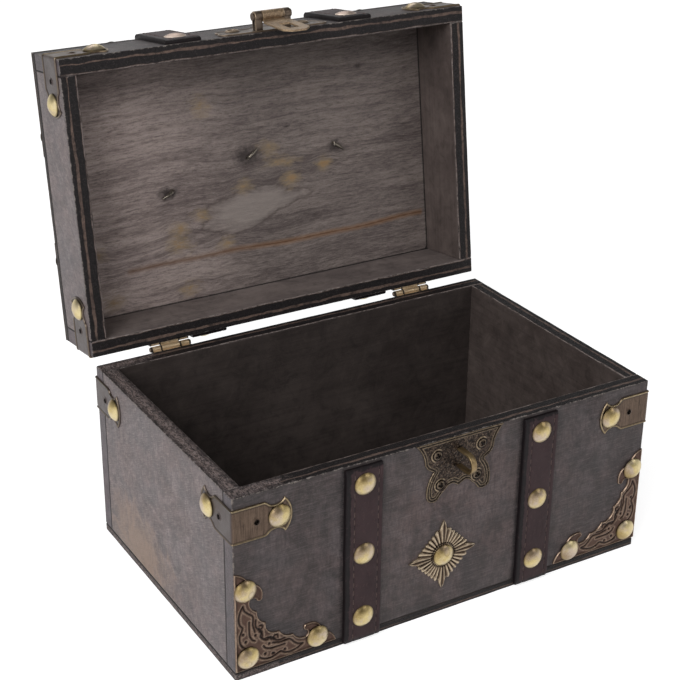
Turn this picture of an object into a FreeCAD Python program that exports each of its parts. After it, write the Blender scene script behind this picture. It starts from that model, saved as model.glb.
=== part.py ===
import FreeCAD, Part
import math
import os

# A small treasure chest, stood open. The front faces -Y, the viewer's right is +X, and the
# origin is the middle of the underside. The lid is drawn shut and then turned open about
# its hinge pins, and the hasp's flap hangs from its own pin on the lid's front.

# Case
case_width = 220.0
case_depth = 142.0
case_height = 91.0
panel_thickness = 8.0
bottom_board_thickness = 4.0
board_edge_radius = 0.8

# Lid
lid_height = 35.5
top_board_thickness = 4.0
rim_gap = 0.3
lid_open_angle = 98.0

# Straps
strap_width = 18.6
strap_thickness = 2.4
strap_edge_radius = 0.6
strap_bend_radius = 2.2
strap_left_from_end = 62.6
strap_right_from_end = 63.6
strap_rim_inset = 1.5
base_strap_stud_heights = (81.5, 46.5, 13.9)
lid_strap_stud_above_rim = 10.3
lid_strap_top_stud_y = (5.0, -5.0)

# Domed nails
dome_radius = 5.35
dome_height = 2.5
nail_radius = 0.8
nail_length = 8.8
nail_point_length = 1.8

# Corner brackets
bracket_length = 28.0
bracket_height = 16.7
bracket_thickness = 1.0
bracket_bend_radius = 1.3
bracket_hole_radius = 0.9
bracket_hole_from_corner = 11.0
bracket_stud_from_corner = 21.8
base_bracket_centre_z = 77.3
lid_bracket_above_rim = 11.2
bracket_shoulder_shares = ((0.50, 0.50), (0.56, 0.48), (0.60, 0.42))
bracket_waist_shares = ((0.70, 0.35), (0.875, 0.50))

# Corner ornaments
ornament_leg = 49.7
ornament_thickness = 0.9
ornament_above_floor = 4.8
ornament_edge_inset = 0.0
ornament_corner_stud = 6.0
ornament_tip_stud = 40.3
ornament_tip_stud_inset = 5.1
ornament_tip_shares = ((0.006, 1.0), (0.068, 0.972), (0.121, 0.915))
ornament_lobe_shares = ((0.151, 0.861), (0.247, 0.809), (0.268, 0.708))
ornament_curl_shares = ((0.268, 0.708), (0.237, 0.670), (0.207, 0.696))
ornament_notch_shares = ((0.207, 0.696), (0.173, 0.714), (0.141, 0.688))
ornament_stem_shares = ((0.141, 0.688), (0.159, 0.616), (0.215, 0.567))
ornament_scallop_shares = ((0.215, 0.567), (0.233, 0.483), (0.298, 0.429))
ornament_middle_share = 0.326

# Medallion
medallion_centre_x = -4.4
medallion_centre_z = 31.2
medallion_ray_length = 18.3
medallion_body_reach = 16.8
medallion_edge_thickness = 0.5
medallion_crown = 1.3
medallion_rays = 4
medallion_ribs = 7
medallion_crown_share = 0.22
medallion_groove_share = 0.9

# Catch plate and staple
lock_x = 2.6
catch_hasp_share = 0.7932
catch_height = 30.4
catch_thickness = 0.8
catch_rim_inset = 0.2
catch_wing_shares = ((1.0, 0.0), (0.84, 0.165), (0.782, 0.355))
catch_neck_shares = ((0.72, 0.425), (0.58, 0.497))
catch_lobe_shares = ((0.58, 0.497), (0.705, 0.68), (0.722, 0.93))
catch_foot_shares = ((0.722, 0.93), (0.603, 1.0), (0.46, 0.975))
catch_arch_shares = ((0.46, 0.975), (0.39, 0.9), (0.31, 0.845))
catch_brow_shares = ((0.31, 0.845), (0.225, 0.785), (0.12, 0.775))
catch_point_share = 0.832
catch_screw_shares = (0.509, 0.419)
catch_screw_heights = (83.6, 68.3)
staple_width = 2.8
staple_band = 1.2
staple_reach = 12.0
staple_height = 9.6
staple_centre_z = 79.8
staple_depth = 6.0

# Screws of the catch
screw_head_radius = 2.2
screw_head_height = 1.1
screw_radius = 1.0
screw_length = 6.5
screw_slot_length = 2.6
screw_slot_width = 0.6
screw_slot_depth = 0.6

# Hasp
hasp_strap_gap = 5.0
hasp_height = 17.0
hasp_thickness = 0.8
hasp_rim_inset = 1.5
hasp_end_shares = ((0.86, 0.0), (1.0, 0.22), (0.93, 0.47))
hasp_wing_shares = ((0.93, 0.47), (0.93, 0.75), (0.76, 0.95))
hasp_shoulder_shares = ((0.76, 0.95), (0.60, 0.86), (0.42, 0.84))
hasp_brow_shares = ((0.42, 0.84), (0.30, 0.88), (0.24, 1.0))
hasp_hole_share = 0.6508
hasp_hole_above_rim = 11.8
hasp_hole_radius = 2.1
hasp_nail_radius = 0.9
hasp_nail_length = 6.0
hasp_nail_sunk = 0.3
hasp_axis_above_rim = 6.7
hasp_axis_out = 7.0
hasp_barrel_radius = 2.6
hasp_barrel_length = 11.2
hasp_ear_width = 4.0
hasp_ear_neck = 4.0
hasp_side_gap = 0.2
hasp_pin_radius = 1.1
hasp_pin_head_radius = 1.9
hasp_pin_head_height = 0.7
flap_width = 14.6
flap_neck_length = 4.0
flap_length = 28.6
flap_thickness = 1.0
flap_chamfer = 3.6
flap_slot_width = 5.5
flap_slot_start = 12.7
flap_slot_end = 23.9
flap_droop_angle = 6.3

# Hinges
hinge_from_end = 40.0
hinge_length = 20.6
hinge_middle_knuckle = 10.0
hinge_knuckle_gap = 0.2
hinge_knuckle_radius = 1.4
hinge_behind_case = 2.6
hinge_pin_radius = 0.65
hinge_pin_head_radius = 1.1
hinge_pin_head_height = 0.5
hinge_leaf_width = 6.4
hinge_leaf_from_axis = 0.35
hinge_leaf_thickness = 0.9
hinge_screw_spacing = 13.0
hinge_screw_from_axis = 4.2
hinge_screw_head_radius = 1.3
hinge_screw_radius = 0.7
hinge_screw_length = 5.0

# Clearances
nail_clearance = 0.05
running_clearance = 0.05
seat_clearance = 0.1
cut_overrun = 2.0

# Places that follow from the sizes
half_width = case_width / 2
half_depth = case_depth / 2
rim_z = case_height + rim_gap
lid_top_z = rim_z + lid_height
hinge_axis_y = half_depth + hinge_behind_case
hinge_axis_z = case_height + rim_gap / 2
hasp_axis_y = -half_depth - hasp_axis_out
hasp_axis_z = rim_z + hasp_axis_above_rim
strap_left_x = strap_left_from_end - half_width
strap_right_x = half_width - strap_right_from_end
hasp_half_width = strap_right_x - strap_width / 2 - hasp_strap_gap - lock_x
catch_half_width = catch_hasp_share * hasp_half_width
quarter_turn = 90.0
half_turn = 180.0


def vec(x, y, z):
    return FreeCAD.Vector(x, y, z)


def block(x0, x1, y0, y1, z0, z1):
    return Part.makeBox(x1 - x0, y1 - y0, z1 - z0, vec(x0, y0, z0))


def placed(shape, placement):
    copy = shape.copy()
    copy.Placement = placement
    return copy


# Local faces have their outward side along +Z; these turns lay them on the chest.
def facing(bearing, point, spin=0):
    lean = FreeCAD.Rotation(vec(1, 0, 0), quarter_turn)
    bear = FreeCAD.Rotation(vec(0, 0, 1), bearing)
    turn = FreeCAD.Rotation(vec(0, 0, 1), spin)
    return FreeCAD.Placement(point, bear.multiply(lean).multiply(turn))


def on_front(x, z, out, spin=0):
    return facing(0, vec(x, -half_depth - out, z), spin)


def on_back(x, z, out):
    return facing(half_turn, vec(x, half_depth + out, z))


def on_side(side, y, z, out):
    return facing(side * quarter_turn, vec(side * (half_width + out), y, z))


def on_top(x, y, out, spin=0):
    turn = FreeCAD.Rotation(vec(0, 0, 1), spin)
    return FreeCAD.Placement(vec(x, y, lid_top_z + out), turn)


def turned_open(shape):
    copy = shape.copy()
    copy.rotate(vec(0, hinge_axis_y, hinge_axis_z), vec(1, 0, 0), -lid_open_angle)
    return copy


def arc(points):
    a, b, c = [vec(x, y, 0) for x, y in points]
    return Part.Arc(a, b, c).toShape()


def line(a, b):
    return Part.LineSegment(vec(a[0], a[1], 0), vec(b[0], b[1], 0)).toShape()


def scaled(shares, width, height):
    return [(u * width, w * height) for u, w in shares]


def plate(edges, thickness):
    wire = Part.Wire(Part.__sortEdges__(edges))
    return Part.Face(wire).extrude(vec(0, 0, thickness))


def mirrored(edges, normal):
    return [edge.mirror(vec(0, 0, 0), normal) for edge in edges]


def drilled(shape, bore, places):
    for place in places:
        tool = placed(bore, place)
        if shape.BoundBox.intersect(tool.BoundBox):
            shape = shape.cut(tool)
    return shape


def rounded(shape, radius, wanted):
    return shape.makeFillet(radius, [edge for edge in shape.Edges if wanted(edge)])


def is_upright(edge):
    box = edge.BoundBox
    return box.ZLength > max(box.XLength, box.YLength)


# Domed nail: a thin cap on a pointed shank, its seat at local zero.
def dome_nail():
    cap_top = vec(0, 0, dome_height)
    cap_edge = vec(dome_radius, 0, 0)
    sphere = (dome_radius ** 2 + dome_height ** 2) / (2 * dome_height)
    lean = math.asin(dome_radius / sphere) / 2
    cap_middle = vec(sphere * math.sin(lean), 0, dome_height - sphere * (1 - math.cos(lean)))
    neck = vec(nail_radius, 0, 0)
    shoulder = vec(nail_radius, 0, nail_point_length - nail_length)
    point = vec(0, 0, -nail_length)
    edges = [
        Part.Arc(cap_top, cap_middle, cap_edge).toShape(),
        Part.makeLine(cap_edge, neck),
        Part.makeLine(neck, shoulder),
        Part.makeLine(shoulder, point),
        Part.makeLine(point, cap_top),
    ]
    face = Part.Face(Part.Wire(edges))
    return face.revolve(vec(0, 0, 0), vec(0, 0, 1), 2 * half_turn)


def nail_bore():
    radius = nail_radius + nail_clearance
    depth = nail_length + nail_clearance
    return Part.makeCylinder(radius, depth + dome_height, vec(0, 0, -depth))


# Places of the domed nails
def base_strap_nails():
    places = []
    for x in (strap_left_x, strap_right_x):
        for z in base_strap_stud_heights:
            places.append(on_front(x, z, strap_thickness))
            places.append(on_back(x, z, strap_thickness))
    return places


def lid_strap_nails():
    z = rim_z + lid_strap_stud_above_rim
    places = []
    for x, y in zip((strap_left_x, strap_right_x), lid_strap_top_stud_y):
        places.append(on_front(x, z, strap_thickness))
        places.append(on_back(x, z, strap_thickness))
        places.append(on_top(x, y, strap_thickness))
    return places


def bracket_nails(centre_z):
    x = half_width - bracket_stud_from_corner
    y = half_depth - bracket_stud_from_corner
    places = []
    for side in (-1, 1):
        places.append(on_front(side * x, centre_z, bracket_thickness))
        places.append(on_back(side * x, centre_z, bracket_thickness))
        places.append(on_side(side, -y, centre_z, bracket_thickness))
        places.append(on_side(side, y, centre_z, bracket_thickness))
    return places


def ornament_nail_places():
    corner = (ornament_corner_stud, ornament_corner_stud)
    upper = (ornament_tip_stud_inset, ornament_tip_stud)
    lower = (ornament_tip_stud, ornament_tip_stud_inset)
    return [FreeCAD.Placement(vec(u, w, 0), FreeCAD.Rotation()) for u, w in (corner, upper, lower)]


def nails_of(ornament_places):
    lift = FreeCAD.Placement(vec(0, 0, ornament_thickness), FreeCAD.Rotation())
    nails = []
    for place in ornament_places:
        nails += [place.multiply(lift).multiply(nail) for nail in ornament_nail_places()]
    return nails


def base_ornament_places():
    left = on_front(-half_width, ornament_above_floor, 0)
    right = on_front(half_width, ornament_above_floor, 0, quarter_turn)
    return [left, right]


def lid_ornament_places():
    x = half_width - ornament_edge_inset
    y = half_depth - ornament_edge_inset
    front_left = on_top(-x, -y, 0)
    front_right = on_top(x, -y, 0, quarter_turn)
    back_right = on_top(x, y, 0, half_turn)
    back_left = on_top(-x, y, 0, -quarter_turn)
    return [front_left, front_right, back_left, back_right]


def base_medallion_nail():
    return [on_front(medallion_centre_x, medallion_centre_z, medallion_crown)]


def lid_medallion_nail():
    return [on_top(medallion_centre_x, lid_strap_top_stud_y[1], medallion_crown)]


def base_nails():
    nails = base_strap_nails() + bracket_nails(base_bracket_centre_z)
    nails += nails_of(base_ornament_places()) + base_medallion_nail()
    return nails


def lid_nails():
    nails = lid_strap_nails() + bracket_nails(rim_z + lid_bracket_above_rim)
    nails += nails_of(lid_ornament_places()) + lid_medallion_nail()
    return nails


# Boards of the case and of the lid
def end_corners_rounded(board, y_outer):
    def outer(edge):
        return is_upright(edge) and abs(edge.BoundBox.YMin - y_outer) < board_edge_radius
    return rounded(board, board_edge_radius, outer)


def wall_pieces(z0, z1):
    inner_x = half_width - panel_thickness
    inner_y = half_depth - panel_thickness
    front = block(-half_width, half_width, -half_depth, -inner_y, z0, z1)
    back = block(-half_width, half_width, inner_y, half_depth, z0, z1)
    left = block(-half_width, -inner_x, -inner_y, inner_y, z0, z1)
    right = block(inner_x, half_width, -inner_y, inner_y, z0, z1)
    front = end_corners_rounded(front, -half_depth)
    back = end_corners_rounded(back, half_depth)
    return front, back, left, right


def flat_board(z0, z1):
    board = block(-half_width, half_width, -half_depth, half_depth, z0, z1)
    return rounded(board, board_edge_radius, is_upright)


# Straps
def base_strap(x, facing_side):
    outer = half_depth + strap_thickness
    top = case_height - strap_rim_inset
    strip = block(x - strap_width / 2, x + strap_width / 2, half_depth, outer, 0, top)

    def outside(edge):
        box = edge.BoundBox
        return abs(box.YMin - outer) < strap_edge_radius and box.ZMax > strap_edge_radius
    strip = rounded(strip, strap_edge_radius, outside)
    if facing_side < 0:
        strip = strip.mirror(vec(0, 0, 0), vec(0, 1, 0))
    return strip


def lid_strap(x):
    x0 = x - strap_width / 2
    x1 = x + strap_width / 2
    y = half_depth + strap_thickness
    z0 = rim_z + strap_rim_inset
    outer = block(x0, x1, -y, y, z0, lid_top_z + strap_thickness)

    def bend(edge):
        box = edge.BoundBox
        return box.XLength > strap_width / 2 and box.ZMin > lid_top_z
    outer = rounded(outer, strap_bend_radius, bend)
    inside = block(x0 - cut_overrun, x1 + cut_overrun, -half_depth, half_depth, z0 - cut_overrun, lid_top_z)
    return outer.cut(inside)


# Corner bracket: two shaped tabs meeting in a bent corner at local zero, each tab
# narrowing to a waist behind its rounded head.
def bracket_tab():
    shoulder = scaled(bracket_shoulder_shares, bracket_length, bracket_height)
    waist = scaled(bracket_waist_shares, bracket_length, bracket_height)
    half = [
        line((-bracket_thickness, bracket_height / 2), shoulder[0]),
        arc(shoulder),
        arc((shoulder[-1], waist[0], waist[1])),
    ]
    head = arc((waist[1], (bracket_length, 0), (waist[1][0], -waist[1][1])))
    heel = line((-bracket_thickness, bracket_height / 2), (-bracket_thickness, -bracket_height / 2))
    tab = plate(half + mirrored(half, vec(0, 1, 0)) + [head, heel], bracket_thickness)
    hole = Part.makeCylinder(
        bracket_hole_radius,
        bracket_thickness + 2 * cut_overrun,
        vec(bracket_hole_from_corner, 0, -cut_overrun),
    )
    return tab.cut(hole)


def bracket():
    tab = bracket_tab()
    on_x = placed(tab, facing(0, vec(0, 0, 0)))
    on_y = on_x.mirror(vec(0, 0, 0), vec(1, -1, 0))
    both = on_x.fuse(on_y).removeSplitter()

    def corner(edge):
        box = edge.BoundBox
        flat = max(box.XLength, box.YLength) < bracket_thickness / 2
        return flat and box.XMax < -bracket_thickness / 2 and box.YMax < -bracket_thickness / 2
    return rounded(both, bracket_bend_radius, corner)


def brackets(centre_z):
    corner = bracket()
    spins = ((-1, -1, 0), (1, -1, quarter_turn), (1, 1, half_turn), (-1, 1, -quarter_turn))
    pieces = []
    for x, y, spin in spins:
        turn = FreeCAD.Rotation(vec(0, 0, 1), spin)
        at = vec(x * half_width, y * half_depth, centre_z)
        pieces.append(placed(corner, FreeCAD.Placement(at, turn)))
    return pieces


# Corner ornament: alike on both sides of its diagonal, with a hooked lobe on each leg
# and three scallops between the hooks.
def ornament():
    leg = ornament_leg
    tip = scaled(ornament_tip_shares, leg, leg)
    lobe = scaled(ornament_lobe_shares, leg, leg)
    scallop = scaled(ornament_scallop_shares, leg, leg)
    half = [
        line((0, 0), (0, tip[0][1])),
        line((0, tip[0][1]), tip[0]),
        arc(tip),
        line(tip[-1], lobe[0]),
        arc(lobe),
        arc(scaled(ornament_curl_shares, leg, leg)),
        arc(scaled(ornament_notch_shares, leg, leg)),
        arc(scaled(ornament_stem_shares, leg, leg)),
        arc(scallop),
    ]
    middle = ornament_middle_share * leg
    centre = arc((scallop[-1], (middle, middle), (scallop[-1][1], scallop[-1][0])))
    return plate(half + mirrored(half, vec(1, -1, 0)) + [centre], ornament_thickness)


# Medallion: a diamond of ribs with a long ray at each corner, rising to a small crown.
def medallion_ring(share, height):
    steps = medallion_rays * (medallion_ribs + 1)
    points = []
    for step in range(2 * steps):
        angle = math.pi * step / steps
        along = (step / 2) % (medallion_ribs + 1) / (medallion_ribs + 1)
        bearing = along * math.pi / 2
        reach = medallion_body_reach / (math.cos(bearing) + math.sin(bearing))
        if step % (2 * (medallion_ribs + 1)) == 0:
            reach = medallion_ray_length
        if step % 2 == 1:
            reach = reach * medallion_groove_share
        points.append(vec(share * reach * math.cos(angle), share * reach * math.sin(angle), height))
    return points


def closed_face(points):
    return Part.Face(Part.makePolygon(points + [points[0]]))


def medallion():
    foot = medallion_ring(1, 0)
    edge = medallion_ring(1, medallion_edge_thickness)
    crown = medallion_ring(medallion_crown_share, medallion_crown)
    faces = [closed_face(foot), closed_face(crown)]
    for low, high in ((foot, edge), (edge, crown)):
        for i in range(len(low)):
            faces.append(closed_face([low[i - 1], low[i], high[i], high[i - 1]]))
    return Part.makeSolid(Part.makeShell(faces))


# Catch plate: a butterfly outline, its straight top just under the rim, with two slots
# for the staple's legs.
def catch_outline():
    def down(shares):
        return scaled(shares, catch_half_width, -catch_height)
    neck = down(catch_neck_shares)
    wing = down(catch_wing_shares)
    brow = down(catch_brow_shares)
    half = [
        line((0, 0), wing[0]),
        arc(wing),
        line(wing[-1], neck[0]),
        line(neck[0], neck[1]),
        arc(down(catch_lobe_shares)),
        arc(down(catch_foot_shares)),
        arc(down(catch_arch_shares)),
        arc(brow),
        line(brow[-1], (0, -catch_point_share * catch_height)),
    ]
    return half + mirrored(half, vec(1, 0, 0))


def staple_slots():
    width = staple_width / 2 + seat_clearance
    slots = []
    for side in (-1, 1):
        z_outer = staple_centre_z + side * (staple_height / 2 + seat_clearance)
        z_inner = staple_centre_z + side * (staple_height / 2 - staple_band - seat_clearance)
        low, high = sorted((z_outer, z_inner))
        y0 = -half_depth - catch_thickness - cut_overrun
        y1 = staple_depth - half_depth + seat_clearance
        slots.append(block(lock_x - width, lock_x + width, y0, y1, low, high))
    return slots[0].fuse(slots[1])


def catch_screw_places():
    places = []
    for share, z in zip(catch_screw_shares, catch_screw_heights):
        offset = share * catch_half_width
        places.append(on_front(lock_x - offset, z, catch_thickness))
        places.append(on_front(lock_x + offset, z, catch_thickness))
    return places


def catch_plate():
    top = case_height - catch_rim_inset
    body = placed(plate(catch_outline(), catch_thickness), on_front(lock_x, top, 0))
    body = body.cut(staple_slots())
    return drilled(body, screw_bore(), catch_screw_places())


def screw_bore():
    depth = screw_length + seat_clearance
    radius = screw_radius + nail_clearance
    return Part.makeCylinder(radius, depth + screw_head_height, vec(0, 0, -depth))


# Round-headed screw with a cross recess
def screw():
    sphere = (screw_head_radius ** 2 + screw_head_height ** 2) / (2 * screw_head_height)
    ball = Part.makeSphere(sphere, vec(0, 0, screw_head_height - sphere))
    limit = Part.makeCylinder(screw_head_radius, screw_head_height)
    head = ball.common(limit)
    shank = Part.makeCylinder(screw_radius, screw_length, vec(0, 0, -screw_length))
    body = head.fuse(shank)
    for length, width in ((screw_slot_length, screw_slot_width), (screw_slot_width, screw_slot_length)):
        z0 = screw_head_height - screw_slot_depth
        slot = block(-length / 2, length / 2, -width / 2, width / 2, z0, screw_head_height + cut_overrun)
        body = body.cut(slot)
    return body


# Staple: a flat band bent to a loop, its two legs driven through the catch plate.
def staple_profile(reach, half_height, depth):
    straight = reach - half_height
    upper_root = vec(0, depth, half_height)
    upper_bend = vec(0, -straight, half_height)
    lower_bend = vec(0, -straight, -half_height)
    lower_root = vec(0, depth, -half_height)
    wire = Part.Wire([
        Part.makeLine(upper_root, upper_bend),
        Part.Arc(upper_bend, vec(0, -reach, 0), lower_bend).toShape(),
        Part.makeLine(lower_bend, lower_root),
        Part.makeLine(lower_root, upper_root),
    ])
    return Part.Face(wire)


def catch_staple():
    outer = staple_profile(staple_reach, staple_height / 2, staple_depth)
    band_inside = staple_height / 2 - staple_band
    inner = staple_profile(staple_reach - staple_band, band_inside, staple_depth + cut_overrun)
    loop = outer.cut(inner).extrude(vec(staple_width, 0, 0))
    loop.translate(vec(lock_x - staple_width / 2, -half_depth, staple_centre_z))
    return loop


# Hasp: plate with two ears on the lid, a pin through them and the slotted flap
def hasp_outline():
    def up(shares):
        return scaled(shares, hasp_half_width, hasp_height)
    end = up(hasp_end_shares)
    brow = up(hasp_brow_shares)
    half = [
        line((0, 0), end[0]),
        arc(end),
        arc(up(hasp_wing_shares)),
        arc(up(hasp_shoulder_shares)),
        arc(brow),
        line(brow[-1], (0, hasp_height)),
    ]
    return half + mirrored(half, vec(1, 0, 0))


def hasp_nail_places():
    z = rim_z + hasp_hole_above_rim
    reach = hasp_hole_share * hasp_half_width
    spots = (lock_x - reach, lock_x + reach)
    return [on_front(x, z, hasp_thickness) for x in spots]


def hasp_countersink():
    bore = hasp_nail_radius + nail_clearance
    cone = Part.makeCone(bore, hasp_hole_radius, hasp_thickness, vec(0, 0, -hasp_thickness))
    mouth = Part.makeCylinder(hasp_hole_radius, cut_overrun)
    depth = hasp_thickness + hasp_nail_length + seat_clearance
    return cone.fuse(mouth).fuse(Part.makeCylinder(bore, depth, vec(0, 0, -depth)))


def hasp_nail():
    head_height = hasp_thickness - hasp_nail_sunk
    spread = (hasp_hole_radius - hasp_nail_radius) * head_height / hasp_thickness
    top = hasp_nail_radius + spread - nail_clearance
    head = Part.makeCone(hasp_nail_radius, top, head_height, vec(0, 0, -hasp_thickness))
    depth = hasp_thickness + hasp_nail_length
    return head.fuse(Part.makeCylinder(hasp_nail_radius, hasp_nail_length, vec(0, 0, -depth)))


def along_x(radius, x0, x1, y, z):
    return Part.makeCylinder(radius, x1 - x0, vec(x0, y, z), vec(1, 0, 0))


def hasp_ear(x0, x1):
    barrel = along_x(hasp_barrel_radius, x0, x1, hasp_axis_y, hasp_axis_z)
    low = hasp_axis_z - hasp_ear_neck / 2
    high = hasp_axis_z + hasp_ear_neck / 2
    neck = block(x0, x1, hasp_axis_y, -half_depth, low, high)
    return barrel.fuse(neck)


def hasp_ear_starts():
    inner = hasp_barrel_length / 2 + hasp_side_gap
    return (lock_x - inner - hasp_ear_width, lock_x + inner)


def hasp_plate():
    body = placed(plate(hasp_outline(), hasp_thickness), on_front(lock_x, rim_z + hasp_rim_inset, 0))
    for x0 in hasp_ear_starts():
        body = body.fuse(hasp_ear(x0, x0 + hasp_ear_width))
    bore = hasp_pin_radius + running_clearance
    starts = hasp_ear_starts()
    tunnel_start = starts[0] - cut_overrun
    tunnel_end = starts[1] + hasp_ear_width + cut_overrun
    body = body.cut(along_x(bore, tunnel_start, tunnel_end, hasp_axis_y, hasp_axis_z))
    return drilled(body, hasp_countersink(), hasp_nail_places()).removeSplitter()


def hasp_pin():
    starts = hasp_ear_starts()
    x0 = starts[0]
    x1 = starts[1] + hasp_ear_width
    pin = along_x(hasp_pin_radius, x0, x1, hasp_axis_y, hasp_axis_z)
    left = along_x(hasp_pin_head_radius, x0 - hasp_pin_head_height, x0, hasp_axis_y, hasp_axis_z)
    right = along_x(hasp_pin_head_radius, x1, x1 + hasp_pin_head_height, hasp_axis_y, hasp_axis_z)
    return pin.fuse(left).fuse(right).removeSplitter()


# The flap is drawn hanging straight down in the plane of its outer face
def flap_outline():
    neck = hasp_barrel_length / 2
    side = flap_width / 2
    points = [
        (0, 0),
        (neck, 0),
        (neck, -flap_neck_length),
        (side, -flap_neck_length - (side - neck)),
        (side, flap_chamfer - flap_length),
        (side - flap_chamfer, -flap_length),
        (0, -flap_length),
    ]
    half = [line(a, b) for a, b in zip(points, points[1:])]
    return half + mirrored(half, vec(1, 0, 0))


def hasp_flap():
    back = hasp_barrel_radius
    leaf = plate(flap_outline(), flap_thickness)
    place = facing(0, vec(lock_x, hasp_axis_y + back, hasp_axis_z))
    leaf = placed(leaf, place)
    x0 = lock_x - hasp_barrel_length / 2
    x1 = lock_x + hasp_barrel_length / 2
    barrel = along_x(hasp_barrel_radius, x0, x1, hasp_axis_y, hasp_axis_z)
    flap = leaf.fuse(barrel)
    bore = hasp_pin_radius + running_clearance
    flap = flap.cut(along_x(bore, x0 - cut_overrun, x1 + cut_overrun, hasp_axis_y, hasp_axis_z))
    slot = block(
        lock_x - flap_slot_width / 2,
        lock_x + flap_slot_width / 2,
        hasp_axis_y,
        hasp_axis_y + back + cut_overrun,
        hasp_axis_z - flap_slot_end,
        hasp_axis_z - flap_slot_start,
    )
    flap = flap.cut(slot).removeSplitter()
    flap.rotate(vec(0, hasp_axis_y, hasp_axis_z), vec(1, 0, 0), flap_droop_angle)
    return flap


# Butt hinges: leaves screwed to the back of the case and of the lid, three knuckles on a
# headed pin. The lower leaf has the outer knuckles and the upper leaf the middle one.
def hinge_knuckles(part):
    half = hinge_length / 2
    inner = hinge_middle_knuckle / 2
    if part == "lid":
        return ((-inner, inner),)
    return ((-half, -inner - hinge_knuckle_gap), (inner + hinge_knuckle_gap, half))


def hinge_heights(part, near, far):
    if part == "lid":
        return hinge_axis_z + near, hinge_axis_z + far
    return hinge_axis_z - far, hinge_axis_z - near


def hinge_leaf(x, part):
    half = hinge_length / 2
    near = hinge_leaf_from_axis
    z0, z1 = hinge_heights(part, near, near + hinge_leaf_width)
    leaf = block(x - half, x + half, half_depth, half_depth + hinge_leaf_thickness, z0, z1)
    z0, z1 = hinge_heights(part, near, near + hinge_leaf_thickness)
    for a, b in hinge_knuckles(part):
        leaf = leaf.fuse(block(x + a, x + b, half_depth, hinge_axis_y, z0, z1))
        leaf = leaf.fuse(along_x(hinge_knuckle_radius, x + a, x + b, hinge_axis_y, hinge_axis_z))
    bore = hinge_pin_radius + running_clearance
    tunnel = along_x(bore, x - half - cut_overrun, x + half + cut_overrun, hinge_axis_y, hinge_axis_z)
    leaf = leaf.cut(tunnel).removeSplitter()
    return drilled(leaf, hinge_screw_bore(), hinge_screw_places(part))


def hinge_centres():
    return (hinge_from_end - half_width, half_width - hinge_from_end)


def hinge_pin(x):
    half = hinge_length / 2
    pin = along_x(hinge_pin_radius, x - half, x + half, hinge_axis_y, hinge_axis_z)
    for a, b in ((-half - hinge_pin_head_height, -half), (half, half + hinge_pin_head_height)):
        pin = pin.fuse(along_x(hinge_pin_head_radius, x + a, x + b, hinge_axis_y, hinge_axis_z))
    return pin.removeSplitter()


def hinge_screw_places(part):
    rise = hinge_screw_from_axis if part == "lid" else -hinge_screw_from_axis
    z = hinge_axis_z + rise
    places = []
    for centre in hinge_centres():
        for x in (centre - hinge_screw_spacing / 2, centre + hinge_screw_spacing / 2):
            places.append(on_back(x, z, hinge_leaf_thickness))
    return places


def countersunk(shank_radius, head_radius, length):
    depth = head_radius - shank_radius
    head = Part.makeCone(shank_radius, head_radius, depth, vec(0, 0, -depth))
    return head.fuse(Part.makeCylinder(shank_radius, length, vec(0, 0, -length)))


def hinge_screw():
    return countersunk(hinge_screw_radius, hinge_screw_head_radius, hinge_screw_length)


def hinge_screw_bore():
    radius = hinge_screw_radius + nail_clearance
    head = hinge_screw_head_radius + nail_clearance
    body = countersunk(radius, head, hinge_screw_length + nail_clearance)
    return body.fuse(Part.makeCylinder(head, cut_overrun))


def group(shape, places):
    return Part.makeCompound([placed(shape, place) for place in places])


def build_base():
    nails = base_nails()
    bore = nail_bore()
    pieces = {}
    front, back, left, right = wall_pieces(bottom_board_thickness, case_height)
    front = drilled(front.cut(staple_slots()), screw_bore(), catch_screw_places())
    back = drilled(back, hinge_screw_bore(), hinge_screw_places("base"))
    boards = {
        "base_front_panel": front,
        "base_back_panel": back,
        "base_left_panel": left,
        "base_right_panel": right,
        "base_bottom_board": flat_board(0, bottom_board_thickness),
        "base_strap_front_left": base_strap(strap_left_x, -1),
        "base_strap_front_right": base_strap(strap_right_x, -1),
        "base_strap_back_left": base_strap(strap_left_x, 1),
        "base_strap_back_right": base_strap(strap_right_x, 1),
    }
    corners = ("front_left", "front_right", "back_right", "back_left")
    for name, shape in zip(corners, brackets(base_bracket_centre_z)):
        boards["base_bracket_" + name] = shape
    for name, place in zip(("left", "right"), base_ornament_places()):
        boards["base_ornament_" + name] = placed(ornament(), place)
    boards["base_medallion"] = placed(medallion(), on_front(medallion_centre_x, medallion_centre_z, 0))
    for name, shape in boards.items():
        pieces[name] = drilled(shape, bore, nails)
    nail = dome_nail()
    pieces["base_strap_studs"] = group(nail, base_strap_nails())
    pieces["base_bracket_studs"] = group(nail, bracket_nails(base_bracket_centre_z))
    pieces["base_ornament_studs"] = group(nail, nails_of(base_ornament_places()))
    pieces["base_medallion_stud"] = group(nail, base_medallion_nail())
    pieces["catch_plate"] = catch_plate()
    pieces["catch_staple"] = catch_staple()
    pieces["catch_screws"] = group(screw(), catch_screw_places())
    for name, x in zip(("left", "right"), hinge_centres()):
        pieces["hinge_base_leaf_" + name] = hinge_leaf(x, "base")
        pieces["hinge_pin_" + name] = hinge_pin(x)
    pieces["hinge_base_screws"] = group(hinge_screw(), hinge_screw_places("base"))
    return pieces


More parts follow.
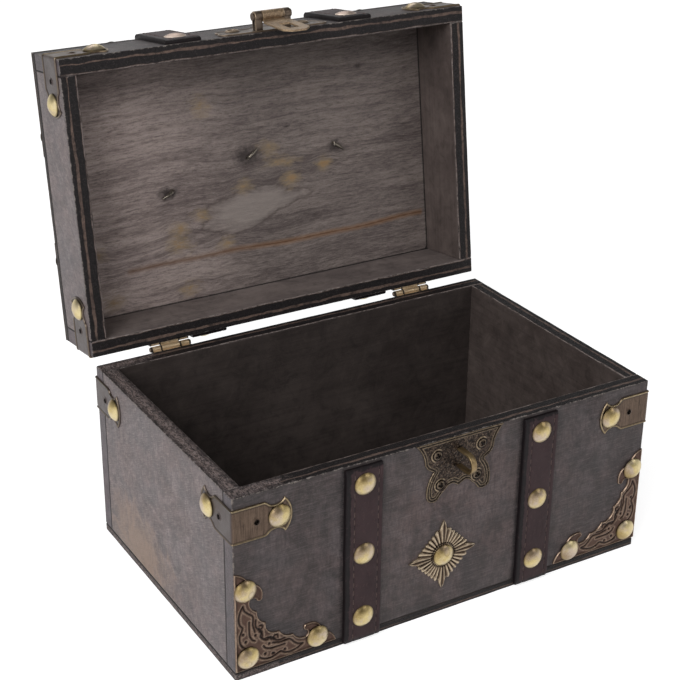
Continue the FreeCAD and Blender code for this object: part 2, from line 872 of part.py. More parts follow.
def build_lid():
    nails = lid_nails()
    bore = nail_bore()
    pieces = {}
    board_z = lid_top_z - top_board_thickness
    front, back, left, right = wall_pieces(rim_z, board_z)
    front = drilled(front, hasp_countersink(), hasp_nail_places())
    back = drilled(back, hinge_screw_bore(), hinge_screw_places("lid"))
    boards = {
        "lid_front_rail": front,
        "lid_back_rail": back,
        "lid_left_rail": left,
        "lid_right_rail": right,
        "lid_top_board": flat_board(board_z, lid_top_z),
        "lid_strap_left": lid_strap(strap_left_x),
        "lid_strap_right": lid_strap(strap_right_x),
    }
    corners = ("front_left", "front_right", "back_right", "back_left")
    for name, shape in zip(corners, brackets(rim_z + lid_bracket_above_rim)):
        boards["lid_bracket_" + name] = shape
    corners = ("front_left", "front_right", "back_left", "back_right")
    for name, place in zip(corners, lid_ornament_places()):
        boards["lid_ornament_" + name] = placed(ornament(), place)
    centre = on_top(medallion_centre_x, lid_strap_top_stud_y[1], 0)
    boards["lid_medallion"] = placed(medallion(), centre)
    for name, shape in boards.items():
        pieces[name] = drilled(shape, bore, nails)
    nail = dome_nail()
    pieces["lid_strap_studs"] = group(nail, lid_strap_nails())
    pieces["lid_bracket_studs"] = group(nail, bracket_nails(rim_z + lid_bracket_above_rim))
    pieces["lid_ornament_studs"] = group(nail, nails_of(lid_ornament_places()))
    pieces["lid_medallion_stud"] = group(nail, lid_medallion_nail())
    pieces["hasp_plate"] = hasp_plate()
    pieces["hasp_pin"] = hasp_pin()
    pieces["hasp_nails"] = group(hasp_nail(), hasp_nail_places())
    pieces["hasp_flap"] = hasp_flap()
    for name, x in zip(("left", "right"), hinge_centres()):
        pieces["hinge_lid_leaf_" + name] = hinge_leaf(x, "lid")
    pieces["hinge_lid_screws"] = group(hinge_screw(), hinge_screw_places("lid"))
    return {name: turned_open(shape) for name, shape in pieces.items()}


def main():
    os.makedirs("parts", exist_ok=True)
    pieces = build_base()
    pieces.update(build_lid())
    for name, shape in pieces.items():
        shape.exportStep("parts/" + name + ".step")
        print(name, len(shape.Solids), shape.isValid(), round(shape.Volume, 2))


main()
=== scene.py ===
import bpy
import math
import random
import numpy as np
from mathutils import Matrix, Vector, noise
from mathutils.geometry import delaunay_2d_cdt


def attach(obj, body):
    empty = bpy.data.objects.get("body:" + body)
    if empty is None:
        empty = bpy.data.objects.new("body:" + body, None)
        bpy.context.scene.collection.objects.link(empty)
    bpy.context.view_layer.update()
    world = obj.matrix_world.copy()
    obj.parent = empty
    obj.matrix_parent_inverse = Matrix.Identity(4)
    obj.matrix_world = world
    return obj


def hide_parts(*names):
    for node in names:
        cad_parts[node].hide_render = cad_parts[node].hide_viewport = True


# A small treasure chest stood open. All sizes below are in millimetres, in the frame of the
# model: the front faces -Y, the viewer's right is +X, the origin is the middle of the underside.
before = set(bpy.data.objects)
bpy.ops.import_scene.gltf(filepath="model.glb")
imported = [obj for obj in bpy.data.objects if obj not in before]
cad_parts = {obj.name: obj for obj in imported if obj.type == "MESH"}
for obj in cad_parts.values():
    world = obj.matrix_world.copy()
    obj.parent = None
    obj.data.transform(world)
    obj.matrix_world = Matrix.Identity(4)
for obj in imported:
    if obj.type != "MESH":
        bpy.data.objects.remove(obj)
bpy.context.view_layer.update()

MM = 0.001
HALF_W = 110.0
HALF_D = 71.0
CASE_H = 91.0
RIM_Z = 91.3
LID_TOP = 126.8
PANEL = 8.0
FLOOR_BOARD = 4.0
TOP_BOARD = 4.0
INNER_W = HALF_W - PANEL
INNER_D = HALF_D - PANEL
HINGE_Y = 73.6
HINGE_Z = 91.15
LID_ANGLE = 98.0
LOCK_X = 2.6
HASP_Y = -78.0
HASP_Z = 98.0
STRAP_W = 18.6
STRAP_T = 2.4
STRAP_X = (-47.4, 46.4)
STRAP_NAILS_Z = (81.5, 46.5, 13.9)
LID_STRAP_NAIL_Z = RIM_Z + 10.3
TOP_NAILS_Y = (5.0, -5.0)
MEDAL_X = -4.4
MEDAL_Z = 31.2
MEDAL_LID_Y = -5.0
BRACKET_Z = 77.3
LID_BRACKET_Z = RIM_Z + 11.2
BRACKET_REACH = 28.0
BRACKET_NAIL = 21.8
BRACKET_SCREW = 11.0
ORNAMENT_LEG = 49.7
ORNAMENT_NAILS = ((6.0, 6.0), (5.1, 40.3), (40.3, 5.1))
CATCH_TOP = 90.8
CATCH_HALF = 23.4
CATCH_DROP = 30.4
SCREWS = ((-11.9, 83.6), (11.9, 83.6), (-9.8, 68.3), (9.8, 68.3))
HASP_HALF = 29.5
HASP_RISE = 17.0
HASP_HOLE = (19.2, 10.3)
FULL = 2 * math.pi

rng = random.Random(7)


# Placing
def at(x, y, z):
    return Matrix.Translation(Vector((x, y, z)))


def turn(degrees, axis):
    return Matrix.Rotation(math.radians(degrees), 4, axis)


OPEN = at(0, HINGE_Y, HINGE_Z) @ turn(-LID_ANGLE, "X") @ at(0, -HINGE_Y, -HINGE_Z)
SHUT = Matrix.Identity(4)


def facing(bearing, x, y, z, spin=0):
    return at(x, y, z) @ turn(bearing, "Z") @ turn(90, "X") @ turn(spin, "Z")


def on_front(x, z, out=0.0, spin=0):
    return facing(0, x, -HALF_D - out, z, spin)


def on_back(x, z, out=0.0):
    return facing(180, x, HALF_D + out, z)


def on_side(side, y, z, out=0.0):
    return facing(side * 90, side * (HALF_W + out), y, z)


def on_top(x, y, out=0.0, spin=0):
    return at(x, y, LID_TOP + out) @ turn(spin, "Z")


# Mesh building
class Build:
    """Collects vertices in millimetres, faces, face materials and point values."""

    def __init__(self):
        self.verts = []
        self.faces = []
        self.slots = []
        self.values = {}

    def add(self, verts, faces, values=None, place=None, slot=0):
        start = len(self.verts)
        if place is not None:
            verts = [place @ Vector(v) for v in verts]
        self.verts += [tuple(v) for v in verts]
        self.faces += [tuple(i + start for i in f) for f in faces]
        self.slots += [slot] * len(faces) if isinstance(slot, int) else list(slot)
        for key, data in (values or {}).items():
            self.values.setdefault(key, {}).update(enumerate(data, start))
        return self

    def mesh(self, name, materials, angle=50):
        m = bpy.data.meshes.new(name)
        m.from_pydata([tuple(c * MM for c in v) for v in self.verts], [], self.faces)
        m.validate()
        for material in materials:
            m.materials.append(material)
        if len(self.slots) == len(m.polygons):
            m.polygons.foreach_set("material_index", self.slots)
        for key, data in self.values.items():
            layer = m.attributes.new(key, "FLOAT", "POINT")
            flat = [float(data.get(i, 0.0)) for i in range(len(self.verts))]
            if len(flat) == len(m.vertices):
                layer.data.foreach_set("value", flat)
        m.polygons.foreach_set("use_smooth", [True] * len(m.polygons))
        m.set_sharp_from_angle(angle=math.radians(angle))
        m.update()
        return m


def placed(name, data):
    o = bpy.data.objects.new(name, data)
    bpy.context.scene.collection.objects.link(o)
    return o


def show(name, mesh, place, body):
    """Puts a piece in place, hangs it on the body that carries it and hides the model node of its
    own name."""
    o = placed(name, mesh)
    loc = place.copy()
    loc.translation = place.translation * MM
    o.matrix_world = loc
    bpy.context.view_layer.update()
    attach(o, body)
    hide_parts(name)


def parted(rows, *names):
    """Parts rows of x, y, z and further values into points and named lists."""
    values = {name: [row[3 + i] for row in rows] for i, name in enumerate(names)}
    return [row[:3] for row in rows], values


def strip(lines, count, closed=True, flip=False):
    """Faces between lines of points that follow each other, each line of the same count."""
    faces = []
    for k in range(lines - 1):
        for j in range(count if closed else count - 1):
            a, b = k * count + j, k * count + (j + 1) % count
            far_a, far_b = a + count, b + count
            faces.append((a, far_a, far_b, b) if flip else (a, b, far_b, far_a))
    return faces


def arc3(a, b, c, step=0.45):
    """Points of the circle's arc from a through b to c, without c."""
    (ax, ay), (bx, by), (cx, cy) = a, b, c
    d = 2 * (ax * (by - cy) + bx * (cy - ay) + cx * (ay - by))
    if abs(d) < 1e-9:
        return [a, b]
    aa, bb, cc = ax**2 + ay**2, bx**2 + by**2, cx**2 + cy**2
    ux = (aa * (by - cy) + bb * (cy - ay) + cc * (ay - by)) / d
    uy = (aa * (cx - bx) + bb * (ax - cx) + cc * (bx - ax)) / d
    r = math.hypot(ax - ux, ay - uy)
    t0, t1, t2 = (math.atan2(y - uy, x - ux) for x, y in (a, b, c))
    if (t1 - t0) % FULL < (t2 - t0) % FULL:
        sweep = (t2 - t0) % FULL
    else:
        sweep = -((t0 - t2) % FULL)
    count = max(2, int(abs(sweep) * r / step))
    turns = [t0 + sweep * i / count for i in range(count)]
    return [(ux + r * math.cos(t), uy + r * math.sin(t)) for t in turns]


def straight(a, b, step=0.5):
    (ax, ay), (bx, by) = a, b
    count = max(1, int(math.hypot(bx - ax, by - ay) / step))
    return [(ax + (bx - ax) * i / count, ay + (by - ay) * i / count) for i in range(count)]


def trace(start, steps, width, height):
    """A line of points through steps, in shares of width and height: a step of one point is
    straight, a step of two is an arc through the first to the second."""
    line = []
    for step in steps:
        points = [(u * width, w * height) for u, w in (start,) + step]
        line += arc3(*points) if len(step) == 2 else straight(*points)
        start = step[-1]
    return line


def mirrored(points):
    return [(-u, w) for u, w in points]


def swapped(points):
    return [(w, u) for u, w in points]


def circle(x, y, radius, count):
    turns = [FULL * i / count for i in range(count)]
    return [(x + radius * math.cos(t), y + radius * math.sin(t)) for t in turns]


def clean(points):
    """Drops points that repeat the one before."""
    kept = []
    for p in points:
        if not kept or math.hypot(p[0] - kept[-1][0], p[1] - kept[-1][1]) > 0.05:
            kept.append(p)
    if math.hypot(kept[0][0] - kept[-1][0], kept[0][1] - kept[-1][1]) < 0.05:
        kept.pop()
    return kept


def doubled(half, tip):
    """The whole outline of a shape of which half holds the right side, up to its tip."""
    return clean(half + [tip] + mirrored(reversed(half[1:])))


def segment_distance(points, loop, closed=True):
    """Distance of each point to a line of points."""
    a = np.array(loop)
    b = np.roll(a, -1, axis=0) if closed else a[1:]
    a = a if closed else a[:-1]
    best = np.full(len(points), 1e9)
    d = b - a
    length = np.maximum((d**2).sum(1), 1e-12)
    for i in range(len(a)):
        rel = points - a[i]
        t = np.clip((rel @ d[i]) / length[i], 0, 1)
        gap = rel - t[:, None] * d[i]
        best = np.minimum(best, np.hypot(gap[:, 0], gap[:, 1]))
    return best


def inside(points, loop):
    a = np.array(loop)
    hit = np.zeros(len(points), bool)
    x, y = points[:, 0], points[:, 1]
    for (ax, ay), (bx, by) in zip(a, np.roll(a, -1, axis=0)):
        if abs(by - ay) < 1e-12:
            continue
        hit ^= ((ay > y) != (by > y)) & (x < (bx - ax) * (y - ay) / (by - ay) + ax)
    return hit


def relief(outline, height, step, rings, holes=()):
    """A thin plate as a raised skin: height(u, w, d) gives the rise and the point values, where
    d is the distance to the outline. Returns vertices, faces and values."""
    loops = [list(outline)] + [list(h) for h in holes]
    points = []
    edges = []
    extra = []
    for loop in loops:
        start, size = len(points), len(loop)
        points += loop
        edges += [(start + i, start + (i + 1) % size) for i in range(size)]
        a = np.array(loop)
        tangent = np.roll(a, -1, axis=0) - np.roll(a, 1, axis=0)
        tangent /= np.maximum(np.hypot(tangent[:, 0], tangent[:, 1]), 1e-9)[:, None]
        normal = np.stack([-tangent[:, 1], tangent[:, 0]], 1)
        extra += [a + sign * normal * r for r in rings for sign in (1, -1)]
    ring = np.concatenate(extra)
    a = np.array(loops[0])
    us = np.arange(a[:, 0].min(), a[:, 0].max(), step)
    ws = np.arange(a[:, 1].min(), a[:, 1].max(), step * 0.87)
    grid = np.array([(u + (step / 2 if j % 2 else 0), w) for j, w in enumerate(ws) for u in us])

    def within(p):
        ok = inside(p, loops[0])
        for hole in loops[1:]:
            ok &= ~inside(p, hole)
        return ok

    def gap(p):
        d = segment_distance(p, loops[0])
        for hole in loops[1:]:
            d = np.minimum(d, segment_distance(p, hole))
        return d

    sizes = [np.full(len(loop), r) for loop in loops for r in rings for _ in (1, -1)]
    ring = ring[within(ring) & (gap(ring) > 0.93 * np.concatenate(sizes))]
    grid = grid[within(grid)]
    grid = grid[gap(grid) > max(rings) + step * 0.4]
    cloud = points + [tuple(p) for p in ring] + [tuple(p) for p in grid]
    cut = delaunay_2d_cdt([Vector(p) for p in cloud], edges, [], 0, 1e-5)
    coords, faces, origin = cut[0], cut[2], cut[3]
    flat = np.array([(c.x, c.y) for c in coords])
    middles = np.array([flat[list(f)].mean(axis=0) for f in faces])
    faces = [tuple(f) for f, good in zip(faces, within(middles)) if good]
    home = {s: i for i, sources in enumerate(origin) for s in sources}
    d = gap(flat)
    d[[home[i] for i in range(len(points))]] = 0
    rise, values = height(flat[:, 0], flat[:, 1], d)
    verts = [(u, w, h) for (u, w), h in zip(flat, rise)]
    values = {key: list(v) for key, v in values.items()}
    for i, j in edges:
        i, j = home[i], home[j]
        n = len(verts)
        verts += [(flat[i, 0], flat[i, 1], 0.0), (flat[j, 0], flat[j, 1], 0.0)]
        for v in values.values():
            v += [v[i], v[j]]
        faces.append((i, n, n + 1, j))
    return verts, faces, values


def line_at(d, centre, width):
    """A soft line: one where d is centre, fading over width."""
    return np.exp(-((d - centre) / width) ** 2)


def lumps(u, w, scale, layer):
    """Soft noise over a plate."""
    return np.array([noise.noise(Vector((a * scale, b * scale, layer))) for a, b in zip(u, w)])


# Materials
def tone(r, g, b):
    """A colour from screen values of 0 to 255."""
    def linear(c):
        c = c / 255
        return c / 12.92 if c <= 0.04045 else ((c + 0.055) / 1.055) ** 2.4
    return (linear(r), linear(g), linear(b), 1.0)


def graded(colour, gain):
    return tuple(min(255, int(c * gain)) for c in colour)


def plug(tree, socket, value):
    if isinstance(value, bpy.types.NodeSocket):
        tree.links.new(value, socket)
    else:
        socket.default_value = value


def node(tree, kind, **inputs):
    """A new node. Its inputs are given by name, with _ for a blank, as values or as sockets."""
    n = tree.nodes.new("ShaderNode" + kind)
    for name, value in inputs.items():
        plug(tree, n.inputs[name.replace("_", " ")], value)
    return n


def maths(tree, kind, a, b=0.0, c=0.0):
    n = node(tree, "Math")
    n.operation = kind
    for socket, value in zip(n.inputs, (a, b, c)):
        plug(tree, socket, value)
    return n.outputs[0]


def ranged(tree, value, low, high, a, b):
    """A share that runs from a at low to b at high and stays there beyond."""
    n = node(tree, "MapRange", Value=value, From_Min=low, From_Max=high, To_Min=a, To_Max=b)
    return n.outputs["Result"]


def seen(tree):
    """One where the camera or a reflection looks, nought for the light itself."""
    path = node(tree, "LightPath")
    return maths(tree, "MAXIMUM", path.outputs["Is Camera Ray"], path.outputs["Is Glossy Ray"])


class Shade:
    """A small helper to write node trees. Colours are screen values, place is in millimetres."""

    def __init__(self, name):
        self.material = bpy.data.materials.new(name)
        self.material.use_nodes = True
        self.tree = self.material.node_tree
        self.tree.nodes.clear()
        self.shader = node(self.tree, "BsdfPrincipled")
        node(self.tree, "OutputMaterial", Surface=self.shader.outputs[0])
        coords = node(self.tree, "TexCoord")
        self.place = self.mapped(coords.outputs["Object"], (1000, 1000, 1000))

    def mapped(self, vector, scale=(1, 1, 1), turned=(0, 0, 0), moved=(0, 0, 0)):
        angles = tuple(math.radians(a) for a in turned)
        n = node(self.tree, "Mapping", Vector=vector, Scale=scale, Rotation=angles, Location=moved)
        return n.outputs[0]

    def noise(self, scale, detail, rough, warp=0.0, stretch=None, on=None):
        """Noise over place, over place stretched, or over another vector."""
        vector = on or (self.mapped(self.place, stretch) if stretch else self.place)
        n = node(self.tree, "TexNoise", Vector=vector, Scale=scale, Detail=detail,
                 Roughness=rough, Distortion=warp)
        return n.outputs["Fac"]

    def cells(self, vector, scale):
        return node(self.tree, "TexVoronoi", Vector=vector, Scale=scale).outputs["Distance"]

    def value(self, name):
        n = node(self.tree, "Attribute")
        n.attribute_name = name
        return n.outputs["Fac"]

    def axes(self):
        return node(self.tree, "SeparateXYZ", Vector=self.place).outputs

    def spread(self, centre, scale):
        """Distance from a spot, counted in scale along each axis."""
        n = node(self.tree, "VectorMath")
        n.operation = "LENGTH"
        moved = tuple(-c * k for c, k in zip(centre, scale))
        plug(self.tree, n.inputs[0], self.mapped(self.place, scale, moved=moved))
        return n.outputs["Value"]

    def fit(self, value, low, high, a=0.0, b=1.0):
        return ranged(self.tree, value, low, high, a, b)

    def calc(self, kind, a, b=0.0):
        return maths(self.tree, kind, a, b)

    def plus(self, a, b):
        return self.calc("ADD", a, b)

    def times(self, a, b):
        return self.calc("MULTIPLY", a, b)

    def off(self, value, level):
        """How far a value is from a level."""
        return self.calc("ABSOLUTE", self.calc("SUBTRACT", value, level))

    def ragged(self, value, field, a, b, low=0.3, high=0.7):
        """A value made uneven by a noise field, by a at its low and by b at its high."""
        return self.plus(value, self.fit(field, low, high, a, b))

    def mix(self, share, a, b, kind="MIX"):
        n = node(self.tree, "Mix")
        n.data_type = "RGBA"
        n.blend_type = kind
        n.clamp_factor = True
        for socket, v in zip([s for s in n.inputs if s.enabled], (share, a, b)):
            plug(self.tree, socket, tone(*v) if isinstance(v, tuple) and len(v) == 3 else v)
        return [s for s in n.outputs if s.enabled][0]

    def blend(self, value, low, high, first, second):
        return self.mix(self.fit(value, low, high), first, second)

    def over(self, colour, *rows):
        """Lays colours over the first one. A row holds a value, the range of it in which the
        share changes, the share at both ends of that range, and the colour laid on."""
        for value, low, high, a, b, top in rows:
            colour = self.mix(self.fit(value, low, high, a, b), colour, top)
        return colour

    def seamed(self, colour, speck):
        """Darkens the line where two boards meet."""
        line = self.ragged(self.value("seam"), speck, -0.15, 0.25)
        return self.over(colour, (line, 0.35, 0.75, 0.9, 0.0, (26, 22, 22)))

    def bump(self, height, strength, distance=0.0002):
        n = node(self.tree, "Bump", Height=height, Strength=strength, Distance=distance)
        return n.outputs[0]

    def done(self, colour, rough, normal, metal=0.0, specular=0.5):
        inputs = self.shader.inputs
        for name, v in (("Base Color", colour), ("Roughness", rough), ("Normal", normal),
                        ("Metallic", metal), ("Specular IOR Level", specular)):
            plug(self.tree, inputs[name], v)
        return self.material


def front_marks_and_painted_light(s, colour, dark, light, centre):
    """Painted light in the front's middle, smears, a dark top and painted shadow by the straps."""
    x0, z0, size = centre
    far = s.spread((x0, 0.0, z0), (1 / size, 0.0, 1.3 / size))
    side, _, top = s.axes()[:3]
    smear = s.noise(0.045, 6, 0.66, 1.1, on=s.mapped(s.place, (1.0, 1.0, 0.5), (0, 12, 0)))
    pale = tuple(int(c * k) for c, k in zip(light, (1.2, 1.12, 1.09)))
    # Painted light: a pale pool in the middle of the front.
    colour = s.over(
        colour,
        (far, 0.2, 1.2, 0.45, 0.0, pale),
        (top, 76, 90, 0.0, 0.35, graded(dark, 0.7)),
        (smear, 0.49, 0.6, 0.0, 0.7, graded(dark, 0.72)),
        (smear, 0.47, 0.36, 0.0, 0.6, graded(light, 1.16)))
    # Painted shadow: a dark ragged band on the wood beside the left edge of each strap.
    for x in STRAP_X:
        near = s.off(side, x - STRAP_W / 2 - 0.4)
        near = s.ragged(near, s.noise(0.5, 6, 0.75), -0.8, 0.8, 0.35, 0.65)
        colour = s.over(colour, (near, 0.5, 1.9, 0.85, 0.0, (24, 21, 23)))
    return colour


def stained_wood(name, along, dark, light, warm=None, patch=None, lean=0.0, centre=None):
    """Dark stained plywood face: fine streaks along the grain, soft clouds and worn edges.
    patch is the place and size of a warm spot, lean turns the grain, and centre is the x, the z
    and the size of the painted pool of light in the front's middle."""
    s = Shade(name)
    stretch = {"X": (0.035, 0.9, 0.9), "Y": (0.9, 0.035, 0.9), "Z": (0.9, 0.9, 0.035)}[along]
    lain = s.mapped(s.place, turned=(lean, 0, 0))
    grain = s.noise(0.8, 6, 0.62, 0.3, on=s.mapped(lain, stretch))
    fine = s.noise(1.0, 5, 0.6, on=s.mapped(lain, tuple(4 * c for c in stretch)))
    cloud = s.noise(0.024, 5, 0.6, 0.5)
    stain = s.noise(0.075, 6, 0.68, 0.8)
    speck = s.noise(1.1, 6, 0.75)
    mottle = s.noise(0.28, 6, 0.72, 0.4)
    tint = s.noise(0.06, 4, 0.6, 0.4)
    weave = s.noise(1.0, 5, 0.65, stretch=(0.9, 0.9, 0.2))
    colour = s.blend(cloud, 0.32, 0.68, dark, light)
    if centre:
        colour = front_marks_and_painted_light(s, colour, dark, light, centre)
    colour = s.over(
        colour,
        (stain, 0.48, 0.66, 0, 0.6, graded(dark, 0.74)),
        (stain, 0.47, 0.32, 0, 0.4, graded(light, 1.1)),
        (mottle, 0.5, 0.64, 0, 0.45, graded(dark, 0.72)),
        (mottle, 0.47, 0.34, 0, 0.4, graded(light, 1.12)))
    hue = s.blend(tint, 0.4, 0.6, (128, 130, 136), (146, 124, 120))
    colour = s.mix(0.45, colour, hue, "SOFT_LIGHT")
    colour = s.over(
        colour,
        (grain, 0.42, 0.75, 0, 0.35, graded(dark, 0.7)),
        (fine, 0.5, 0.72, 0, 0.5, graded(light, 1.2)),
        (speck, 0.53, 0.72, 0, 0.5, graded(dark, 0.6)),
        (speck, 0.46, 0.3, 0, 0.3, graded(light, 1.18)),
        (weave, 0.48, 0.62, 0, 0.42, graded(dark, 0.72)))
    if patch:
        size = patch[3]
        far = s.spread(patch[:3], (1 / size, 1 / size, 1.6 / size))
        colour = s.over(colour, (s.ragged(far, stain, -0.5, 0.5), 0.4, 1.4, 0.6, 0.0, warm))
    edge = s.value("edge")
    worn = s.ragged(edge, s.noise(0.5, 6, 0.78), -0.5, 1.2, 0.35, 0.65)
    colour = s.over(
        colour,
        (edge, 0.3, 2.2, 0.5, 0.0, graded(dark, 0.7)),
        (worn, 0.25, 0.7, 0.6, 0.0, (140, 130, 122)))
    colour = s.seamed(colour, speck)
    rough = s.fit(s.plus(cloud, s.times(speck, 0.5)), 0.45, 1.0, 0.42, 0.62)
    height = s.plus(s.times(fine, 0.7), s.times(speck, 0.35))
    return s.done(colour, rough, s.bump(height, 0.6, 0.0003), specular=0.32)


def ply_edge(name, gain=1.0, rough_from=None):
    """The board's sawn edge, from the outer face inwards: dark, brown, dark and brown plies
    with pale worn flecks, and torn fibres to the left of rough_from."""
    s = Shade(name)
    t = s.ragged(s.value("across"), s.noise(0.1, 4, 0.6), -0.05, 0.05)
    speck = s.noise(1.1, 6, 0.75)
    soft = s.noise(0.3, 5, 0.7)
    fibre = s.noise(1.0, 5, 0.65, stretch=(0.12, 0.12, 2.0))
    flecks = s.noise(1.0, 5, 0.8, stretch=(1.0, 1.0, 2.0))
    dark = s.blend(speck, 0.35, 0.7, (30, 25, 26), (14, 11, 12))
    brown = s.blend(speck, 0.35, 0.7, (118, 98, 88), (82, 68, 62))
    brown = s.over(brown, (fibre, 0.45, 0.65, 0, 0.5, (60, 48, 46)))
    width = s.fit(s.noise(0.03, 4, 0.6), 0.35, 0.65, -0.035, 0.05)
    first = s.fit(s.calc("SUBTRACT", s.off(t, 0.37), width), 0.045, 0.075, 1.0, 0.0)
    second = s.fit(s.off(t, 0.93), 0.03, 0.06, 0.6, 0.0)
    plies = s.times(s.calc("MAXIMUM", first, second), s.fit(soft, 0.36, 0.52, 0.3, 1.0))
    colour = s.mix(s.times(plies, gain), dark, brown)
    worn = s.fit(s.off(t, 0.95), 0.025, 0.05, 0.75, 0.0)
    worn = s.times(worn, s.fit(soft, 0.4, 0.55, 0.15, 1.0))
    colour = s.mix(worn, colour, (136, 124, 120))
    colour = s.over(colour, (flecks, 0.55, 0.7, 0, 0.25, (118, 108, 104)))
    if rough_from is not None:
        x = s.ragged(s.axes()[0], soft, -9.0, 9.0, 0.35, 0.65)
        grit = s.noise(1.2, 6, 0.85, stretch=(0.9, 0.35, 1.0))
        pale = s.noise(1.7, 5, 0.8, stretch=(1.0, 0.5, 1.0))
        sides = s.ragged(s.off(t, 0.48), soft, -0.12, 0.12, 0.35, 0.65)
        torn = s.over(
            s.blend(grit, 0.44, 0.56, (134, 119, 115), (32, 27, 28)),
            (sides, 0.12, 0.24, 0.0, 0.5, (48, 40, 41)),
            (pale, 0.55, 0.66, 0, 0.75, (170, 161, 161)),
            (sides, 0.36, 0.46, 0.0, 0.85, (24, 20, 21)))
        colour = s.over(colour, (x, rough_from, rough_from - 10.0, 0.0, 0.85, torn))
    edge = s.ragged(s.value("edge"), s.noise(0.5, 6, 0.75), -0.1, 1.2, 0.35, 0.65)
    colour = s.over(colour, (edge, 0.3, 0.8, 0.7, 0.0, (150, 142, 138)))
    colour = s.seamed(colour, speck)
    rough = s.fit(speck, 0.3, 0.8, 0.5, 0.75)
    return s.done(colour, rough, s.bump(flecks, 0.8, 0.0006), specular=0.25)


def bare_wood(name, along, dark, light):
    """Thinly stained inner face with open grain."""
    s = Shade(name)
    stretch = {"X": (0.018, 0.55, 0.55), "Y": (0.55, 0.018, 0.55)}[along]
    grain = s.noise(1.0, 7, 0.62, 0.35, stretch)
    fine = s.noise(1.0, 4, 0.6, stretch=tuple(5 * c for c in stretch))
    cloud = s.noise(0.025, 5, 0.6)
    speck = s.noise(0.9, 6, 0.75)
    mottle = s.noise(0.12, 6, 0.72, 0.5)
    colour = s.over(
        s.blend(cloud, 0.3, 0.7, dark, light),
        (grain, 0.45, 0.7, 0, 0.35, graded(dark, 0.7)),
        (mottle, 0.5, 0.66, 0, 0.5, graded(dark, 0.66)),
        (mottle, 0.46, 0.32, 0, 0.35, graded(light, 1.15)),
        (fine, 0.55, 0.8, 0, 0.3, graded(light, 1.15)),
        (speck, 0.56, 0.78, 0, 0.3, graded(dark, 0.6)))
    colour = s.seamed(colour, speck)
    return s.done(colour, s.fit(cloud, 0.3, 0.7, 0.6, 0.8), s.bump(fine, 0.4), specular=0.25)


